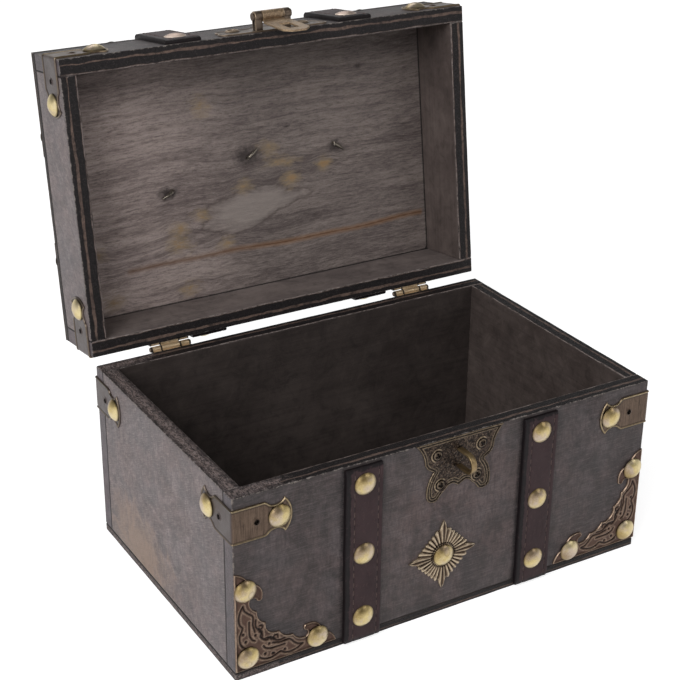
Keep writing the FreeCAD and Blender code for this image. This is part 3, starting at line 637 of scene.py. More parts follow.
def lid_lining(name):
    """Inner face of the lid's board: long grain, knots, a split and the ghost of a worn oval, with
    painted light towards its left.
    """
    s = Shade(name)
    x, y, z = s.axes()[:3]
    knot = s.value("knot")
    sway = s.times(s.noise(0.014, 3, 0.5), 4.0)
    push = s.plus(sway, s.fit(knot, 0.4, 3.0, 0.9, 0.0))
    lain = node(s.tree, "CombineXYZ", X=s.times(x, 0.016),
                Y=s.plus(s.times(y, 0.42), push),
                Z=s.times(z, 0.5)).outputs[0]
    grain = s.noise(1.0, 7, 0.66, 0.1, on=lain)
    fine = s.noise(1.0, 5, 0.62, on=s.mapped(lain, (3.5, 4.0, 1.0)))
    dash = s.noise(1.0, 5, 0.72, on=s.mapped(lain, (12.0, 2.6, 1.0)))
    hair = s.noise(1.0, 5, 0.75, on=s.mapped(lain, (16.0, 4.2, 1.0)))
    cloud = s.noise(0.02, 5, 0.6)
    stain = s.noise(0.06, 6, 0.7, 0.6, (0.5, 1.0, 1.0))
    speck = s.noise(1.0, 6, 0.75)
    leaned = s.mapped(s.mapped(s.place, turned=(0, 0, 7)), (0.013, 0.085, 1.0))
    slant = s.noise(1.0, 6, 0.7, 0.4, on=leaned)
    colour = s.over(
        s.blend(cloud, 0.3, 0.7, (108, 98, 95), (132, 121, 116)),
        # Painted light: paler towards the lining's left, where the lid's left wall shades it.
        (x, -106, 0, 0.5, 0.0, (168, 154, 149)),
        (grain, 0.46, 0.62, 0, 0.6, (76, 66, 65)),
        (stain, 0.52, 0.72, 0, 0.55, (76, 66, 65)),
        (stain, 0.46, 0.3, 0, 0.35, (140, 128, 120)),
        (fine, 0.5, 0.75, 0, 0.4, (142, 130, 124)),
        (speck, 0.52, 0.72, 0, 0.5, (62, 53, 52)),
        (slant, 0.48, 0.62, 0, 0.5, (70, 60, 59)),
        (slant, 0.46, 0.34, 0, 0.4, (140, 128, 122)),
        (dash, 0.53, 0.66, 0, 0.5, (52, 44, 43)),
        (dash, 0.46, 0.34, 0, 0.3, (158, 146, 140)),
        (hair, 0.53, 0.64, 0, 0.36, (54, 46, 46)),
        (hair, 0.46, 0.36, 0, 0.22, (158, 146, 140)))
    # Painted light: brightened towards the left, where the lid's left wall casts shade on the
    # lining.
    colour = s.mix(s.fit(x, -106, 0, 0.85, 0.0), colour, (2.05, 2.0, 2.0, 1.0), "MULTIPLY")
    corner = s.spread((-98, -60, 0.0), (1 / 32, 1 / 20, 0.0))
    leaf = s.ragged(s.value("oval"), s.noise(0.07, 4, 0.6, 0.0, (0.5, 1.0, 1.0)), -0.35, 0.35)
    ring = s.ragged(s.off(leaf, 1.0), stain, -0.04, 0.08)
    broad = s.noise(0.2, 6, 0.74, stretch=(0.6, 1.5, 1.0))
    blur = s.ragged(knot, broad, -0.9, 1.1)
    mark = s.ragged(s.value("mark"), s.noise(0.5, 5, 0.7), -0.3, 0.5)
    colour = s.over(
        colour,
        (s.ragged(corner, stain, -0.5, 0.5), 0.2, 1.2, 0.6, 0.0, (58, 50, 52)),
        (ring, 0.0, 0.14, 0.6, 0.0, (66, 55, 52)),
        (leaf, 0.5, 1.02, 0.66, 0.0, (150, 140, 134)),
        (blur, 0.1, 1.9, 0.7, 0.0, (152, 132, 102)),
        (blur, -0.1, 0.8, 0.6, 0.0, (148, 114, 74)),
        (blur, -0.7, -0.2, 0.7, 0.0, (84, 62, 46)),
        (mark, 0.4, 1.2, 0.85, 0.0, (50, 43, 42)))
    split = s.calc("ABSOLUTE", s.value("split"))
    split = s.ragged(split, s.noise(0.25, 5, 0.7), -0.15, 0.3)
    gain = s.value("splitgain")
    for low, high, share, brown in ((0.3, 2.4, 0.75, (132, 98, 70)),
                                    (0.15, 0.6, 0.8, (86, 60, 44))):
        amount = s.times(gain, s.fit(split, low, high, share, 0.0))
        colour = s.mix(amount, colour, brown)
    colour = s.seamed(colour, speck)
    normal = s.bump(s.plus(fine, dash), 0.8, 0.0003)
    return s.done(colour, s.fit(cloud, 0.3, 0.7, 0.55, 0.75), normal, specular=0.3)


def leather(name):
    """Dark leather with scuffs, a black cut edge widened by painted shadow, darker pressed lines.
    """
    s = Shade(name)
    crease = s.noise(0.35, 6, 0.65, 0.5)
    cloud = s.noise(0.05, 4, 0.55)
    scuff = s.noise(0.8, 6, 0.75, stretch=(0.8, 0.8, 0.35))
    colour = s.over(
        s.blend(cloud, 0.3, 0.7, (49, 36, 38), (63, 47, 49)),
        (crease, 0.55, 0.8, 0, 0.5, (38, 26, 28)),
        (scuff, 0.56, 0.72, 0, 0.5, (96, 74, 74)),
        (s.ragged(s.value("rim"), crease, -0.4, 0.4), 0.45, 0.8, 0.0, 0.92, (18, 15, 17)),
        (s.value("groove"), 0.2, 0.9, 0.0, 0.55, (22, 16, 17)))
    height = s.plus(s.times(s.cells(s.place, 1.6), 0.5), crease)
    return s.done(colour, s.fit(crease, 0.3, 0.8, 0.42, 0.6), s.bump(height, 0.3), specular=0.16)


def thread(name):
    s = Shade(name)
    n = node(s.tree, "TexWave", Vector=s.place, Scale=1.3, Distortion=1.5, Detail=2.0)
    n.bands_direction = "Z"
    twist = n.outputs["Fac"]
    colour = s.mix(twist, (40, 30, 31), (114, 96, 92))
    return s.done(colour, 0.75, s.bump(twist, 0.4, 0.0001), specular=0.15)


def old_metal(name, bright, mid, dark, rough=(0.28, 0.5), streak=None, pit=0.25, metal=0.9,
              tarnish=0.5, hammer=0.0, stained=False, glint=None, rings=None):
    """Aged plate metal: cloudy tarnish, dark pits, bright worn rims and dark grooves. streak
    stretches the grain of a drawn sheet, hammer beats it, stained greys one side, and rings
    gives painted shade: dark lines at the splits between a barrel's knuckles and at its ends."""
    s = Shade(name)
    cloud = s.noise(0.16, 5, 0.6, 0.3)
    speck = s.noise(1.3, 6, 0.7)
    colour = s.over(
        s.blend(cloud, 0.3, 0.7, mid, bright),
        (s.noise(0.32, 5, 0.65), 0.52, 0.75, 0, tarnish, dark))
    if streak:
        lines = s.noise(1.0, 5, 0.65, stretch=streak)
        colour = s.over(colour, (lines, 0.45, 0.7, 0, 0.6, dark),
                        (lines, 0.42, 0.3, 0, 0.45, bright))
        speck = s.plus(s.times(speck, 0.4), s.times(lines, 0.8))
    if hammer:
        beaten = s.cells(s.mapped(s.place, turned=(20, 30, 10)), 1.15)
        colour = s.over(colour, (beaten, 0.25, 0.6, 0, hammer, graded(dark, 0.6)),
                        (beaten, 0.22, 0.05, 0, hammer, graded(bright, 1.25)))
        speck = s.calc("SUBTRACT", speck, s.times(beaten, 1.4))
    else:
        colour = s.over(colour, (speck, 0.58, 0.8, 0, 0.5, graded(dark, 0.6)))
    worn = s.fit(s.noise(0.7, 4, 0.6), 0.3, 0.6, 0.45, 1.0)
    worn = s.times(s.value("rim"), worn)
    if stained:
        side = s.value("side")
        shade = s.blend(cloud, 0.3, 0.7, (66, 58, 58), (84, 76, 76))
        colour = s.mix(s.times(side, 0.85), colour, shade)
        worn = s.times(worn, s.fit(side, 0.0, 1.0, 1.0, 0.35))
    colour = s.over(colour, (s.value("groove"), 0.15, 0.85, 0, 0.94, graded(dark, 0.35)))
    colour = s.mix(worn, colour, glint or graded(bright, 1.3))
    # Painted shade: dark lines at the splits between a barrel's knuckles and at its ends.
    if rings:
        across = s.off(s.calc("ABSOLUTE", s.axes()[0]), rings[0])
        for level in rings[1:]:
            colour = s.over(colour, (s.off(across, level), 0.3, 0.6, 0.95, 0.0, (14, 11, 10)))
    return s.done(colour, s.fit(cloud, 0.3, 0.7, *rough), s.bump(speck, pit), metal=metal)


def dome_brass(name):
    """Brass cap with a soft sheen, spotted with age, with painted shade towards its lip and on its
    upper left and a painted highlight on its lower right.
    """
    s = Shade(name)
    cloud = s.noise(0.3, 5, 0.6)
    speck = s.noise(1.6, 6, 0.75)
    # Painted shade on each cap's upper left and a painted highlight on its lower right.
    painted_dome_shading = s.ragged(s.value("painted_dome_shading"), speck, -0.12, 0.12)
    colour = s.over(
        s.blend(cloud, 0.35, 0.65, (186, 166, 114), (210, 192, 142)),
        (s.noise(0.13, 3, 0.5), 0.46, 0.6, 0, 0.8, (184, 168, 158)),
        (painted_dome_shading, 0.55, 0.85, 0, 0.65, (124, 100, 60)),
        (painted_dome_shading, 0.5, 0.25, 0, 0.5, (222, 208, 168)),
        (speck, 0.56, 0.74, 0, 0.4, (116, 98, 66)),
        # Painted shade towards the cap's lip.
        (s.value("rim"), 0.1, 1.0, 0.0, 0.85, (84, 70, 46)),
        (s.value("dent"), 0.15, 1.0, 0.0, 0.4, (104, 88, 66)))
    normal = s.bump(s.noise(0.3, 2, 0.5), 0.12, 0.0005)
    return s.done(colour, s.fit(cloud, 0.3, 0.7, 0.32, 0.45), normal, metal=0.95)


def floor_shade(name):
    """Grey to the light, and pale where the camera looks."""
    m = bpy.data.materials.new(name)
    m.use_nodes = True
    t = m.node_tree
    t.nodes.clear()
    diffuse = node(t, "BsdfDiffuse", Color=(0.55, 0.55, 0.55, 1))
    glow = node(t, "Emission", Strength=maths(t, "MULTIPLY", seen(t), 0.72))
    add = node(t, "AddShader")
    for socket, part in zip(add.inputs, (diffuse, glow)):
        plug(t, socket, part.outputs[0])
    node(t, "OutputMaterial", Surface=add.outputs[0])
    return m


# Painted light and shade: wood_side is the same stained wood as wood_front in a paler, lit copy,
# and wood_front is the darker, shaded copy.
WOOD_X = stained_wood("wood_front", "X", (72, 65, 64), (101, 92, 92), centre=(0.0, 45.0, 60.0))
WOOD_Y = stained_wood("wood_side", "Y", (108, 99, 100), (145, 134, 132), warm=(156, 130, 110),
                      patch=(-110, 28, 12, 30), lean=28)
WOOD_TOP = stained_wood("wood_top", "X", (72, 67, 67), (98, 91, 91))
WOOD_END = stained_wood("wood_end", "Z", (86, 79, 82), (114, 105, 109))
PLY = ply_edge("wood_ply_edge")
PLY_CASE = ply_edge("wood_case_edge", gain=0.85, rough_from=-80.0)
# Painted light and shade: wood_inner_short is the same wood as wood_inner_long in a paler, lit
# copy, and wood_inner_long is the darker, shaded copy.
INNER_X = bare_wood("wood_inner_long", "X", (52, 45, 43), (68, 60, 57))
INNER_Y = bare_wood("wood_inner_short", "Y", (66, 57, 54), (88, 78, 74))
# Painted light and shade: wood_lid_wall_long is the same wood as wood_lid_wall_short in a paler,
# lit copy, and wood_lid_wall_short is the darker, shaded copy.
LIDWALL_X = bare_wood("wood_lid_wall_long", "X", (94, 85, 83), (119, 108, 104))
LIDWALL_Y = bare_wood("wood_lid_wall_short", "Y", (76, 66, 63), (98, 87, 83))
LINING = lid_lining("wood_lid_lining")
LEATHER = leather("strap_leather_dark")
THREAD = thread("strap_thread")
BRASS = dome_brass("stud_brass")
PALE = old_metal("stud_pale", (206, 184, 170), (170, 148, 136), (96, 78, 68), pit=0.15, metal=0.8)
BRACKET = old_metal("bracket_metal", (108, 91, 78), (86, 71, 61), (50, 41, 35), stained=True,
                    streak=(2.6, 2.6, 0.09), tarnish=0.4, glint=(176, 158, 124))
COPPER = old_metal("ornament_metal", (93, 72, 62), (68, 52, 46), (37, 28, 25), rough=(0.3, 0.52),
                   glint=(176, 154, 134))
MEDAL = old_metal("medallion_metal", (116, 97, 80), (84, 68, 56), (42, 33, 27),
                  glint=(216, 198, 170))
CATCH = old_metal("catch_metal", (84, 70, 61), (58, 48, 43), (32, 26, 24), rough=(0.3, 0.5),
                  pit=0.6, hammer=0.5, glint=(178, 158, 132))
HASP = old_metal("hasp_metal", (104, 90, 79), (78, 66, 58), (42, 34, 30), pit=0.4, metal=0.75,
                 tarnish=0.6, glint=(176, 156, 132))
FLAPM = old_metal("flap_metal_worn", (182, 156, 124), (146, 123, 99), (72, 58, 48),
                  rough=(0.3, 0.46), pit=0.5, metal=0.5, tarnish=0.6, hammer=0.35)
STAPLE = old_metal("staple_metal", (164, 142, 104), (116, 97, 72), (52, 41, 33), pit=0.2)
SCREW = old_metal("screw_metal", (84, 72, 62), (58, 49, 43), (30, 25, 22), pit=0.2, tarnish=0.35,
                  glint=(140, 124, 104))
HINGE = old_metal("hinge_metal", (214, 190, 156), (168, 144, 112), (70, 56, 44), pit=0.15,
                  metal=0.7, rings=(70.0, 5.1, 10.1))
PIN = old_metal("pin_metal", (104, 88, 74), (76, 62, 53), (40, 33, 29), pit=0.15)
SOOT = old_metal("nail_metal_black", (40, 35, 32), (28, 24, 22), (14, 12, 11), pit=0.3)
STEEL = old_metal("nail_metal", (150, 142, 130), (84, 77, 70), (30, 26, 24), rough=(0.2, 0.4),
                  pit=0.3, tarnish=0.7)


# Boards
LID_BOARD_Z = LID_TOP - TOP_BOARD
WEAR = 0.7


def rows(low, high, step):
    """Places along one side of a board: close together near its ends."""
    near = [0, 0.3 * WEAR, 0.65 * WEAR, WEAR, WEAR + 0.5, WEAR + 1.2, WEAR + 2.6]
    near = [n for n in near if n < (high - low) / 2 - 0.1]
    places = [low + n for n in near] + [high - n for n in near]
    a, b = low + near[-1], high - near[-1]
    count = max(1, int((b - a) / step))
    places += [a + (b - a) * i / count for i in range(1, count)]
    places = sorted(set(round(p, 4) for p in places))
    return [p for i, p in enumerate(places) if i == 0 or p - places[i - 1] > 1e-3]


def box_skin(low, high, steps, slots):
    """Points, faces and face materials of a box with square corners."""
    lists = [rows(*span) for span in zip(low, high, steps)]
    index = {}
    faces = []
    kinds = []
    for axis in range(3):
        a, b = [i for i in range(3) if i != axis]
        for end, level in enumerate((low[axis], high[axis])):
            for i in range(len(lists[a]) - 1):
                for j in range(len(lists[b]) - 1):
                    quad = []
                    for u, w in ((i, j), (i + 1, j), (i + 1, j + 1), (i, j + 1)):
                        spot = {axis: level, a: lists[a][u], b: lists[b][w]}
                        p = (spot[0], spot[1], spot[2])
                        key = tuple(round(c, 3) for c in p)
                        quad.append(index.setdefault(key, (len(index), p))[0])
                    outward = (end == 1) != (axis == 1)
                    faces.append(quad if outward else quad[::-1])
                    kinds.append(slots[2 * axis + end])
    return [p for _, p in index.values()], faces, kinds


def seam_gap(p, thick):
    """Distance of a point of a board to the nearest line where two boards meet."""
    x, y, z = p
    joint = min(abs(z - FLOOR_BOARD), abs(z - LID_BOARD_Z))
    to_side, to_front = abs(abs(x) - INNER_W), abs(abs(y) - INNER_D)
    if thick < 2 and abs(x) > HALF_W - 0.6:
        joint = min(joint, to_front)
    if thick == 2 and joint < 0.01:
        outer = max(abs(x) / HALF_W, abs(y) / HALF_D) > 0.999
        joint = 0.0 if outer else min(to_side, to_front)
    return joint


def board(name, low, high, slots, thick, place, body, materials, steps=(7.0,) * 3, values=None):
    """A sawn board: a box whose edges are worn round by an uneven amount. slots gives the
    material of the faces -x, +x, -y, +y, -z, +z, and thick the axis of its thickness."""
    verts, faces, kinds = box_skin(low, high, steps, slots)
    centre = Vector([(a + b) / 2 for a, b in zip(low, high)])
    outer_high = centre[thick] > (0 if thick < 2 else 40)
    shaped = []
    for p in verts:
        v = Vector(p)
        uneven = 0.35 * noise.noise(v * 0.11 + centre) + 0.25 * noise.noise(v * 0.5 + centre)
        wear = max(0.25 * WEAR, min(WEAR, WEAR * (0.8 + uneven)))
        q = Vector([min(max(v[i], low[i] + wear), high[i] - wear) for i in range(3)])
        d = v - q
        if sum(abs(c) > 1e-6 for c in d) > 1:
            v = q + d.normalized() * wear
        gap = sorted(min(p[i] - low[i], high[i] - p[i]) for i in range(3))[1]
        seam = seam_gap(p, thick)
        share = (p[thick] - low[thick]) / (high[thick] - low[thick])
        across = 1 - share if outer_high else share
        shaped.append((*v, gap if gap < seam - 0.01 else 9.0, across, seam))
    shaped, data = parted(shaped, "edge", "across", "seam")
    for key, function in (values or {}).items():
        data[key] = [function(p) for p in verts]
    mesh = Build().add(shaped, faces, data, slot=kinds).mesh(name, materials, 60)
    show(name, mesh, place, body)


def walls(prefix, ends, z0, z1, place, body, rim_up, inner_long, inner_short):
    """The four walls of the case or of the lid: front, back, left and right."""
    ply = PLY_CASE if rim_up else PLY
    down, up = (0, 3) if rim_up else (3, 0)
    w, d, u, v = HALF_W, HALF_D, INNER_W, INNER_D
    for side, x0, y0, x1, y1, slots, thick in (
        ("front", -w, -d, w, -v, (1, 1, 0, 2), 1),
        ("back", -w, v, w, d, (1, 1, 2, 0), 1),
        ("left", -w, -v, -u, v, (0, 2, 1, 1), 0),
        ("right", u, -v, w, v, (2, 0, 1, 1), 0),
    ):
        outer, inner = (WOOD_X, inner_long) if thick else (WOOD_Y, inner_short)
        board(prefix + side + ends, (x0, y0, z0), (x1, y1, z1), slots + (down, up), thick, place,
              body, [outer, WOOD_END, inner, ply])


KNOTS = ((8, -8, 4, 3), (15, 0, 7, 2.2), (-8, 10, 4, 3), (20, 10, 4.5, 3), (40, 5, 3.5, 2.5),
         (-45, 25, 4, 3), (-33, 20, 4, 2.6), (-20, 37, 3.4, 2.4), (-84, 56, 4, 3),
         (-42, 57, 4.4, 3), (-92, 31, 4, 3), (-28, -35, 4.5, 3.4), (-46, 33, 5, 3.4))
MARKS = ((64, -43, 3.0, 1.3), (20, -18, 2.6, 1.0), (-5, -6, 8.0, 6.0), (-50, 6, 6.5, 3.8),
         (47, -4, 5.0, 3.8))


def nearest(spots):
    """Distance to the nearest of the spots x, y, counted in their own half sizes."""
    def value(p):
        return min(math.hypot((p[0] - x) / a, (p[1] - y) / b) for x, y, a, b in spots)
    return value


def split_line(p):
    """Distance to the split that runs along the lining."""
    return p[1] - (42.0 + 0.7 * math.sin(p[0] / 23.0) + 0.25 * math.sin(p[0] / 8.0))


def split_gain(p):
    if p[0] < -75 or p[0] > 99:
        return 0.0
    return 0.55 + 0.45 * min(1.0, max(0.0, (p[0] + 30) / 40))


def oval(p):
    """One on the rim of the lining's worn oval, less inside it."""
    x = p[0] + 5
    return math.hypot(x / 34.0, (p[1] - 22.0 + 0.12 * x) / (9.5 - 0.06 * x))


walls("base_", "_panel", FLOOR_BOARD, CASE_H, SHUT, "case", True, INNER_X, INNER_Y)
walls("lid_", "_rail", RIM_Z, LID_BOARD_Z, OPEN, "lid", False, LIDWALL_X, LIDWALL_Y)
board("base_bottom_board", (-HALF_W, -HALF_D, 0), (HALF_W, HALF_D, FLOOR_BOARD),
      (3, 3, 3, 3, 0, 2), 2, SHUT, "case", [WOOD_X, WOOD_END, INNER_X, PLY_CASE])
board("lid_top_board", (-HALF_W, -HALF_D, LID_BOARD_Z), (HALF_W, HALF_D, LID_TOP),
      (3, 3, 3, 3, 1, 0), 2, OPEN, "lid", [WOOD_TOP, LINING, INNER_X, PLY], (1.6, 1.6, 7.0),
      {"knot": nearest(KNOTS), "mark": nearest(MARKS), "split": split_line,
       "splitgain": split_gain, "oval": oval})


# Straps. A path is the strap's outer line as (y, z), each with its outward direction.
def case_path(side):
    low, high, count = 1.3, 89.5, 88
    y = side * (HALF_D + STRAP_T)
    return [((y, low + (high - low) * i / count), (side, 0.0)) for i in range(count + 1)]


def lid_path():
    r, low = 2.2, 92.8
    edge, roof = HALF_D + STRAP_T, LID_TOP + STRAP_T
    y, z = edge - r, roof - r

    def bend(middle, start):
        for i in range(9):
            a = start - math.pi / 2 * i / 8
            across, up = math.cos(a), math.sin(a)
            yield (middle + r * across, z + r * up), (across, up)

    path = [((-edge, low + (z - low) * i / 34), (-1.0, 0.0)) for i in range(34)]
    path += bend(-y, math.pi)
    path += [((-y + 2 * y * i / 140, roof), (0.0, 1.0)) for i in range(1, 140)]
    path += bend(y, math.pi / 2)
    path += [((edge, z - (z - low) * i / 34), (1.0, 0.0)) for i in range(1, 35)]
    return path


def strap(name, x, path, place, body, seed):
    """A leather strap with rounded edges, a pressed line near each edge and its stitches."""
    half = STRAP_W / 2
    seams = (4.2 - half, half - 2.4)
    round_off = 0.8

    def pressed(w):
        return max(math.exp(-((w - seam) / 0.34) ** 2) for seam in seams)

    profile = [(-half, 0.0), (-half, 1.0), (-half, 1.55)]
    for i in range(1, 5):
        a = math.pi - math.pi / 2 * i / 5
        profile.append((-half + round_off + round_off * math.cos(a),
                        STRAP_T - 0.85 + round_off * math.sin(a)))
    for i in range(int((STRAP_W - 2 * round_off) / 0.35) + 1):
        w = -half + round_off + 0.35 * i
        profile.append((w, STRAP_T - 0.05 - 0.07 * (abs(w) / half) ** 2 - 0.22 * pressed(w)))
    profile += mirrored(reversed(profile[:7]))
    last = len(path) - 1
    points = []
    for k, ((y, z), (ny, nz)) in enumerate(path):
        ends = min(k, last - k)
        drop, cut = ((0.55, 1.0), (0.2, 0.8), (0.05, 0.3))[ends] if ends < 3 else (0.0, 0.0)
        bent = abs(ny) > 0.01 and abs(nz) > 0.01
        sway = 0.16 * noise.noise(Vector((seed * 7.1, (y + z) * 0.05, 0.0)))
        for w, h in profile:
            near = abs(w) / half
            rough = 0.05 * noise.noise(Vector((w * 0.5 + seed, y * 0.3, z * 0.3)))
            rise = min(h - drop + rough - 0.05, STRAP_T) if h > 1.2 else h
            depth = min(STRAP_T - rise, 2.1) if bent else STRAP_T - rise
            # The black edge reaches further in on the left: the leather's black cut edge, widened
            # there by painted shadow of the strap's thickness.
            rim = max(0.0, min(1.0, (near - (0.7 if w < 0 else 0.9)) / 0.12), cut)
            points.append((x + w + sway * (1 if near > 0.2 else 0.5), y - ny * depth,
                           z - nz * depth, rim if h > 1.0 else 1.0, pressed(w)))
    n = len(profile)
    faces = strip(last + 1, n, closed=False)
    faces += [tuple(range(n)), tuple(reversed(range(last * n, last * n + n)))]
    verts, values = parted(points, "rim", "groove")
    build = Build().add(verts, faces, values)
    lengths = [0.0]
    for (p, _), (q, _) in zip(path, path[1:]):
        lengths.append(lengths[-1] + math.hypot(q[0] - p[0], q[1] - p[1]))
    pitch = 4.5
    along = pitch * 0.6
    while along < lengths[-1] - pitch * 0.5:
        k = next(i for i, s in enumerate(lengths) if s >= along)
        for seam in seams:
            stitch(build, x + seam, *path[k])
        along += pitch
    show(name, build.mesh(name, [LEATHER, THREAD], 70), place, body)


def stitch(build, x, spot, outward):
    """One short stitch of thread, thin at both ends and sunk a little."""
    (y, z), (ny, nz) = spot, outward
    centre = Vector((x, y - ny * 0.24, z - nz * 0.24))
    axis, out, across = Vector((0.0, -nz, ny)), Vector((0.0, ny, nz)), Vector((1.0, 0.0, 0.0))
    ring = []
    for t, r in ((-1.35, 0.06), (-1.15, 0.24), (-0.5, 0.31), (0.5, 0.31), (1.15, 0.24),
                 (1.35, 0.06)):
        sink = 0.2 if abs(t) > 1.2 else 0.0
        for j in range(6):
            a = FULL * j / 6
            rise = r * 0.7 * math.sin(a) - sink
            ring.append(centre + axis * t + across * r * math.cos(a) + out * rise)
    build.add(ring, strip(6, 6), slot=1)


for x, label, k in ((STRAP_X[0], "left", 1), (STRAP_X[1], "right", 2)):
    strap("base_strap_front_" + label, x, case_path(-1), SHUT, "case", k)
    strap("base_strap_back_" + label, x, case_path(1)[::-1], SHUT, "case", k + 2)
    strap("lid_strap_" + label, x, lid_path(), OPEN, "lid", k + 4)


# Domed nails
def dome(seed):
    """One thin brass cap, a little dented, with a flat lip."""
    radius, height = 5.35, 2.5
    sphere = (radius**2 + height**2) / (2 * height)
    around, up = 40, 12
    dent = Vector((rng.uniform(-2.4, 2.4), rng.uniform(-2.4, 2.4), 0.0))
    deep = rng.choice((0.0, 0.0, 0.1, 0.16, 0.22))
    points = []
    for k in range(up):
        r = radius * (1 - (k / up) ** 1.15)
        z = height - sphere + math.sqrt(sphere**2 - r**2)
        for x, y in circle(0, 0, r, around):
            p = Vector((x, y, 0.0))
            soft = 0.05 * noise.noise(p * 0.45 + Vector((seed * 3.3, 0.0, 0.0))) if k else 0.0
            hollow = deep * math.exp(-(p - dent).length_squared / 2.0) if k > 1 else 0.0
            ring = 4.5 * deep * math.exp(-(((p - dent).length - 1.5) / 0.4) ** 2)
            # Painted shade and highlight: one on the cap's upper left, which is painted darker, and
            # nought on its lower right, which is painted paler.
            painted_dome_shading = 0.5 + 0.5 * (0.8 * p.y - 0.6 * p.x) / radius
            points.append((p.x, p.y, max(0.0, z - hollow + soft - 0.05),
                           max(0.0, (r - 4.7) / 0.65), ring, painted_dome_shading))
    points.append((0, 0, height - 0.05, 0.0, 0.0, 0.5))
    points += [(x, y, -0.25, 1.0, 0.0, 0.5) for x, y in circle(0, 0, radius, around)]
    base, tip, lip = (up - 1) * around, up * around, up * around + 1
    pairs = [(j, (j + 1) % around) for j in range(around)]
    faces = strip(up, around)
    faces += [(base + i, base + j, tip) for i, j in pairs]
    faces += [(lip + i, lip + j, j, i) for i, j in pairs]
    verts, values = parted(points, "rim", "dent", "painted_dome_shading")
    return verts, faces, values


def tube(points, radii, around=10):
    """A round bar along a line of points, closed at both ends."""
    verts = []
    for k, p in enumerate(points):
        a = Vector(points[max(0, k - 1)])
        b = Vector(points[min(len(points) - 1, k + 1)])
        d = (b - a).normalized()
        side = d.orthogonal().normalized()
        other = d.cross(side)
        for c, s in circle(0, 0, 1, around):
            verts.append(Vector(p) + (side * c + other * s) * radii[k])
    faces = strip(len(points), around)
    faces += [tuple(reversed(range(around))), tuple(range(len(verts) - around, len(verts)))]
    return verts, faces


def studs(name, spots, place, body, tips=(), worn=()):
    """Domed nails in their final place. The worn ones are pale and beaten flat."""
    build = Build()
    beaten = Matrix.Scale(0.55, 4, Vector((0, 0, 1)))
    for k, spot in enumerate(spots):
        verts, faces, values = dome(k + len(name))
        if k in worn:
            build.add(verts, faces, values, place @ spot @ beaten, 2)
        else:
            build.add(verts, faces, values, place @ spot)
    for tip in tips:
        build.add(*tube(*tip), place=place, slot=1)
    show(name, build.mesh(name, [BRASS, STEEL, PALE], 35), SHUT, body)


def both_faces(x, z):
    return [on_front(x, z, STRAP_T), on_back(x, z, STRAP_T)]


def bracket_spots(z):
    x, y, out = HALF_W - BRACKET_NAIL, HALF_D - BRACKET_NAIL, 1.0
    spots = []
    for side in (-1, 1):
        spots += [on_front(side * x, z, out), on_back(side * x, z, out),
                  on_side(side, -y, z, out), on_side(side, y, z, out)]
    return spots


def ornament_spots(places):
    return [p @ at(u, w, 0.9) for p in places.values() for u, w in ORNAMENT_NAILS]


base_ornaments = {"left": on_front(-HALF_W, 4.8), "right": on_front(HALF_W, 4.8, spin=90)}
lid_ornaments = {"front_left": on_top(-HALF_W, -HALF_D),
                 "front_right": on_top(HALF_W, -HALF_D, spin=90),
                 "back_left": on_top(-HALF_W, HALF_D, spin=-90),
                 "back_right": on_top(HALF_W, HALF_D, spin=180)}

# The bent nail tips inside the lid: where each one comes through and which way it leans
TIP_BENDS = ((0, 0.3), (0, -0.9), (0.3, -1.6), (1, -2.0), (2.1, -1.8), (2.7, -1.4))
tips = []
for x, y, dx, dy in ((STRAP_X[0], TOP_NAILS_Y[0], -2.4, 1.2),
                     (STRAP_X[1], TOP_NAILS_Y[1], 2.0, 1.6),
                     (MEDAL_X, MEDAL_LID_Y, 2.2, -1.8)):
    line = [(x + dx * t, y + dy * t, LID_BOARD_Z + h) for t, h in TIP_BENDS]
    tips.append((line, (0.85, 0.85, 0.9, 0.85, 0.6, 0.12)))

strap_spots = [p for x in STRAP_X for z in STRAP_NAILS_Z for p in both_faces(x, z)]
lid_strap_spots = []
for x, y in zip(STRAP_X, TOP_NAILS_Y):
    lid_strap_spots += both_faces(x, LID_STRAP_NAIL_Z) + [on_top(x, y, STRAP_T)]
studs("base_strap_studs", strap_spots, SHUT, "case")
studs("lid_strap_studs", lid_strap_spots, OPEN, "lid", tips[:2], (0, 3))
studs("base_bracket_studs", bracket_spots(BRACKET_Z), SHUT, "case")
studs("lid_bracket_studs", bracket_spots(LID_BRACKET_Z), OPEN, "lid")
studs("base_ornament_studs", ornament_spots(base_ornaments), SHUT, "case")
studs("lid_ornament_studs", ornament_spots(lid_ornaments), OPEN, "lid")
studs("base_medallion_stud", [on_front(MEDAL_X, MEDAL_Z, 1.3)], SHUT, "case")
studs("lid_medallion_stud", [on_top(MEDAL_X, MEDAL_LID_Y, 1.3)], OPEN, "lid", tips[2:])


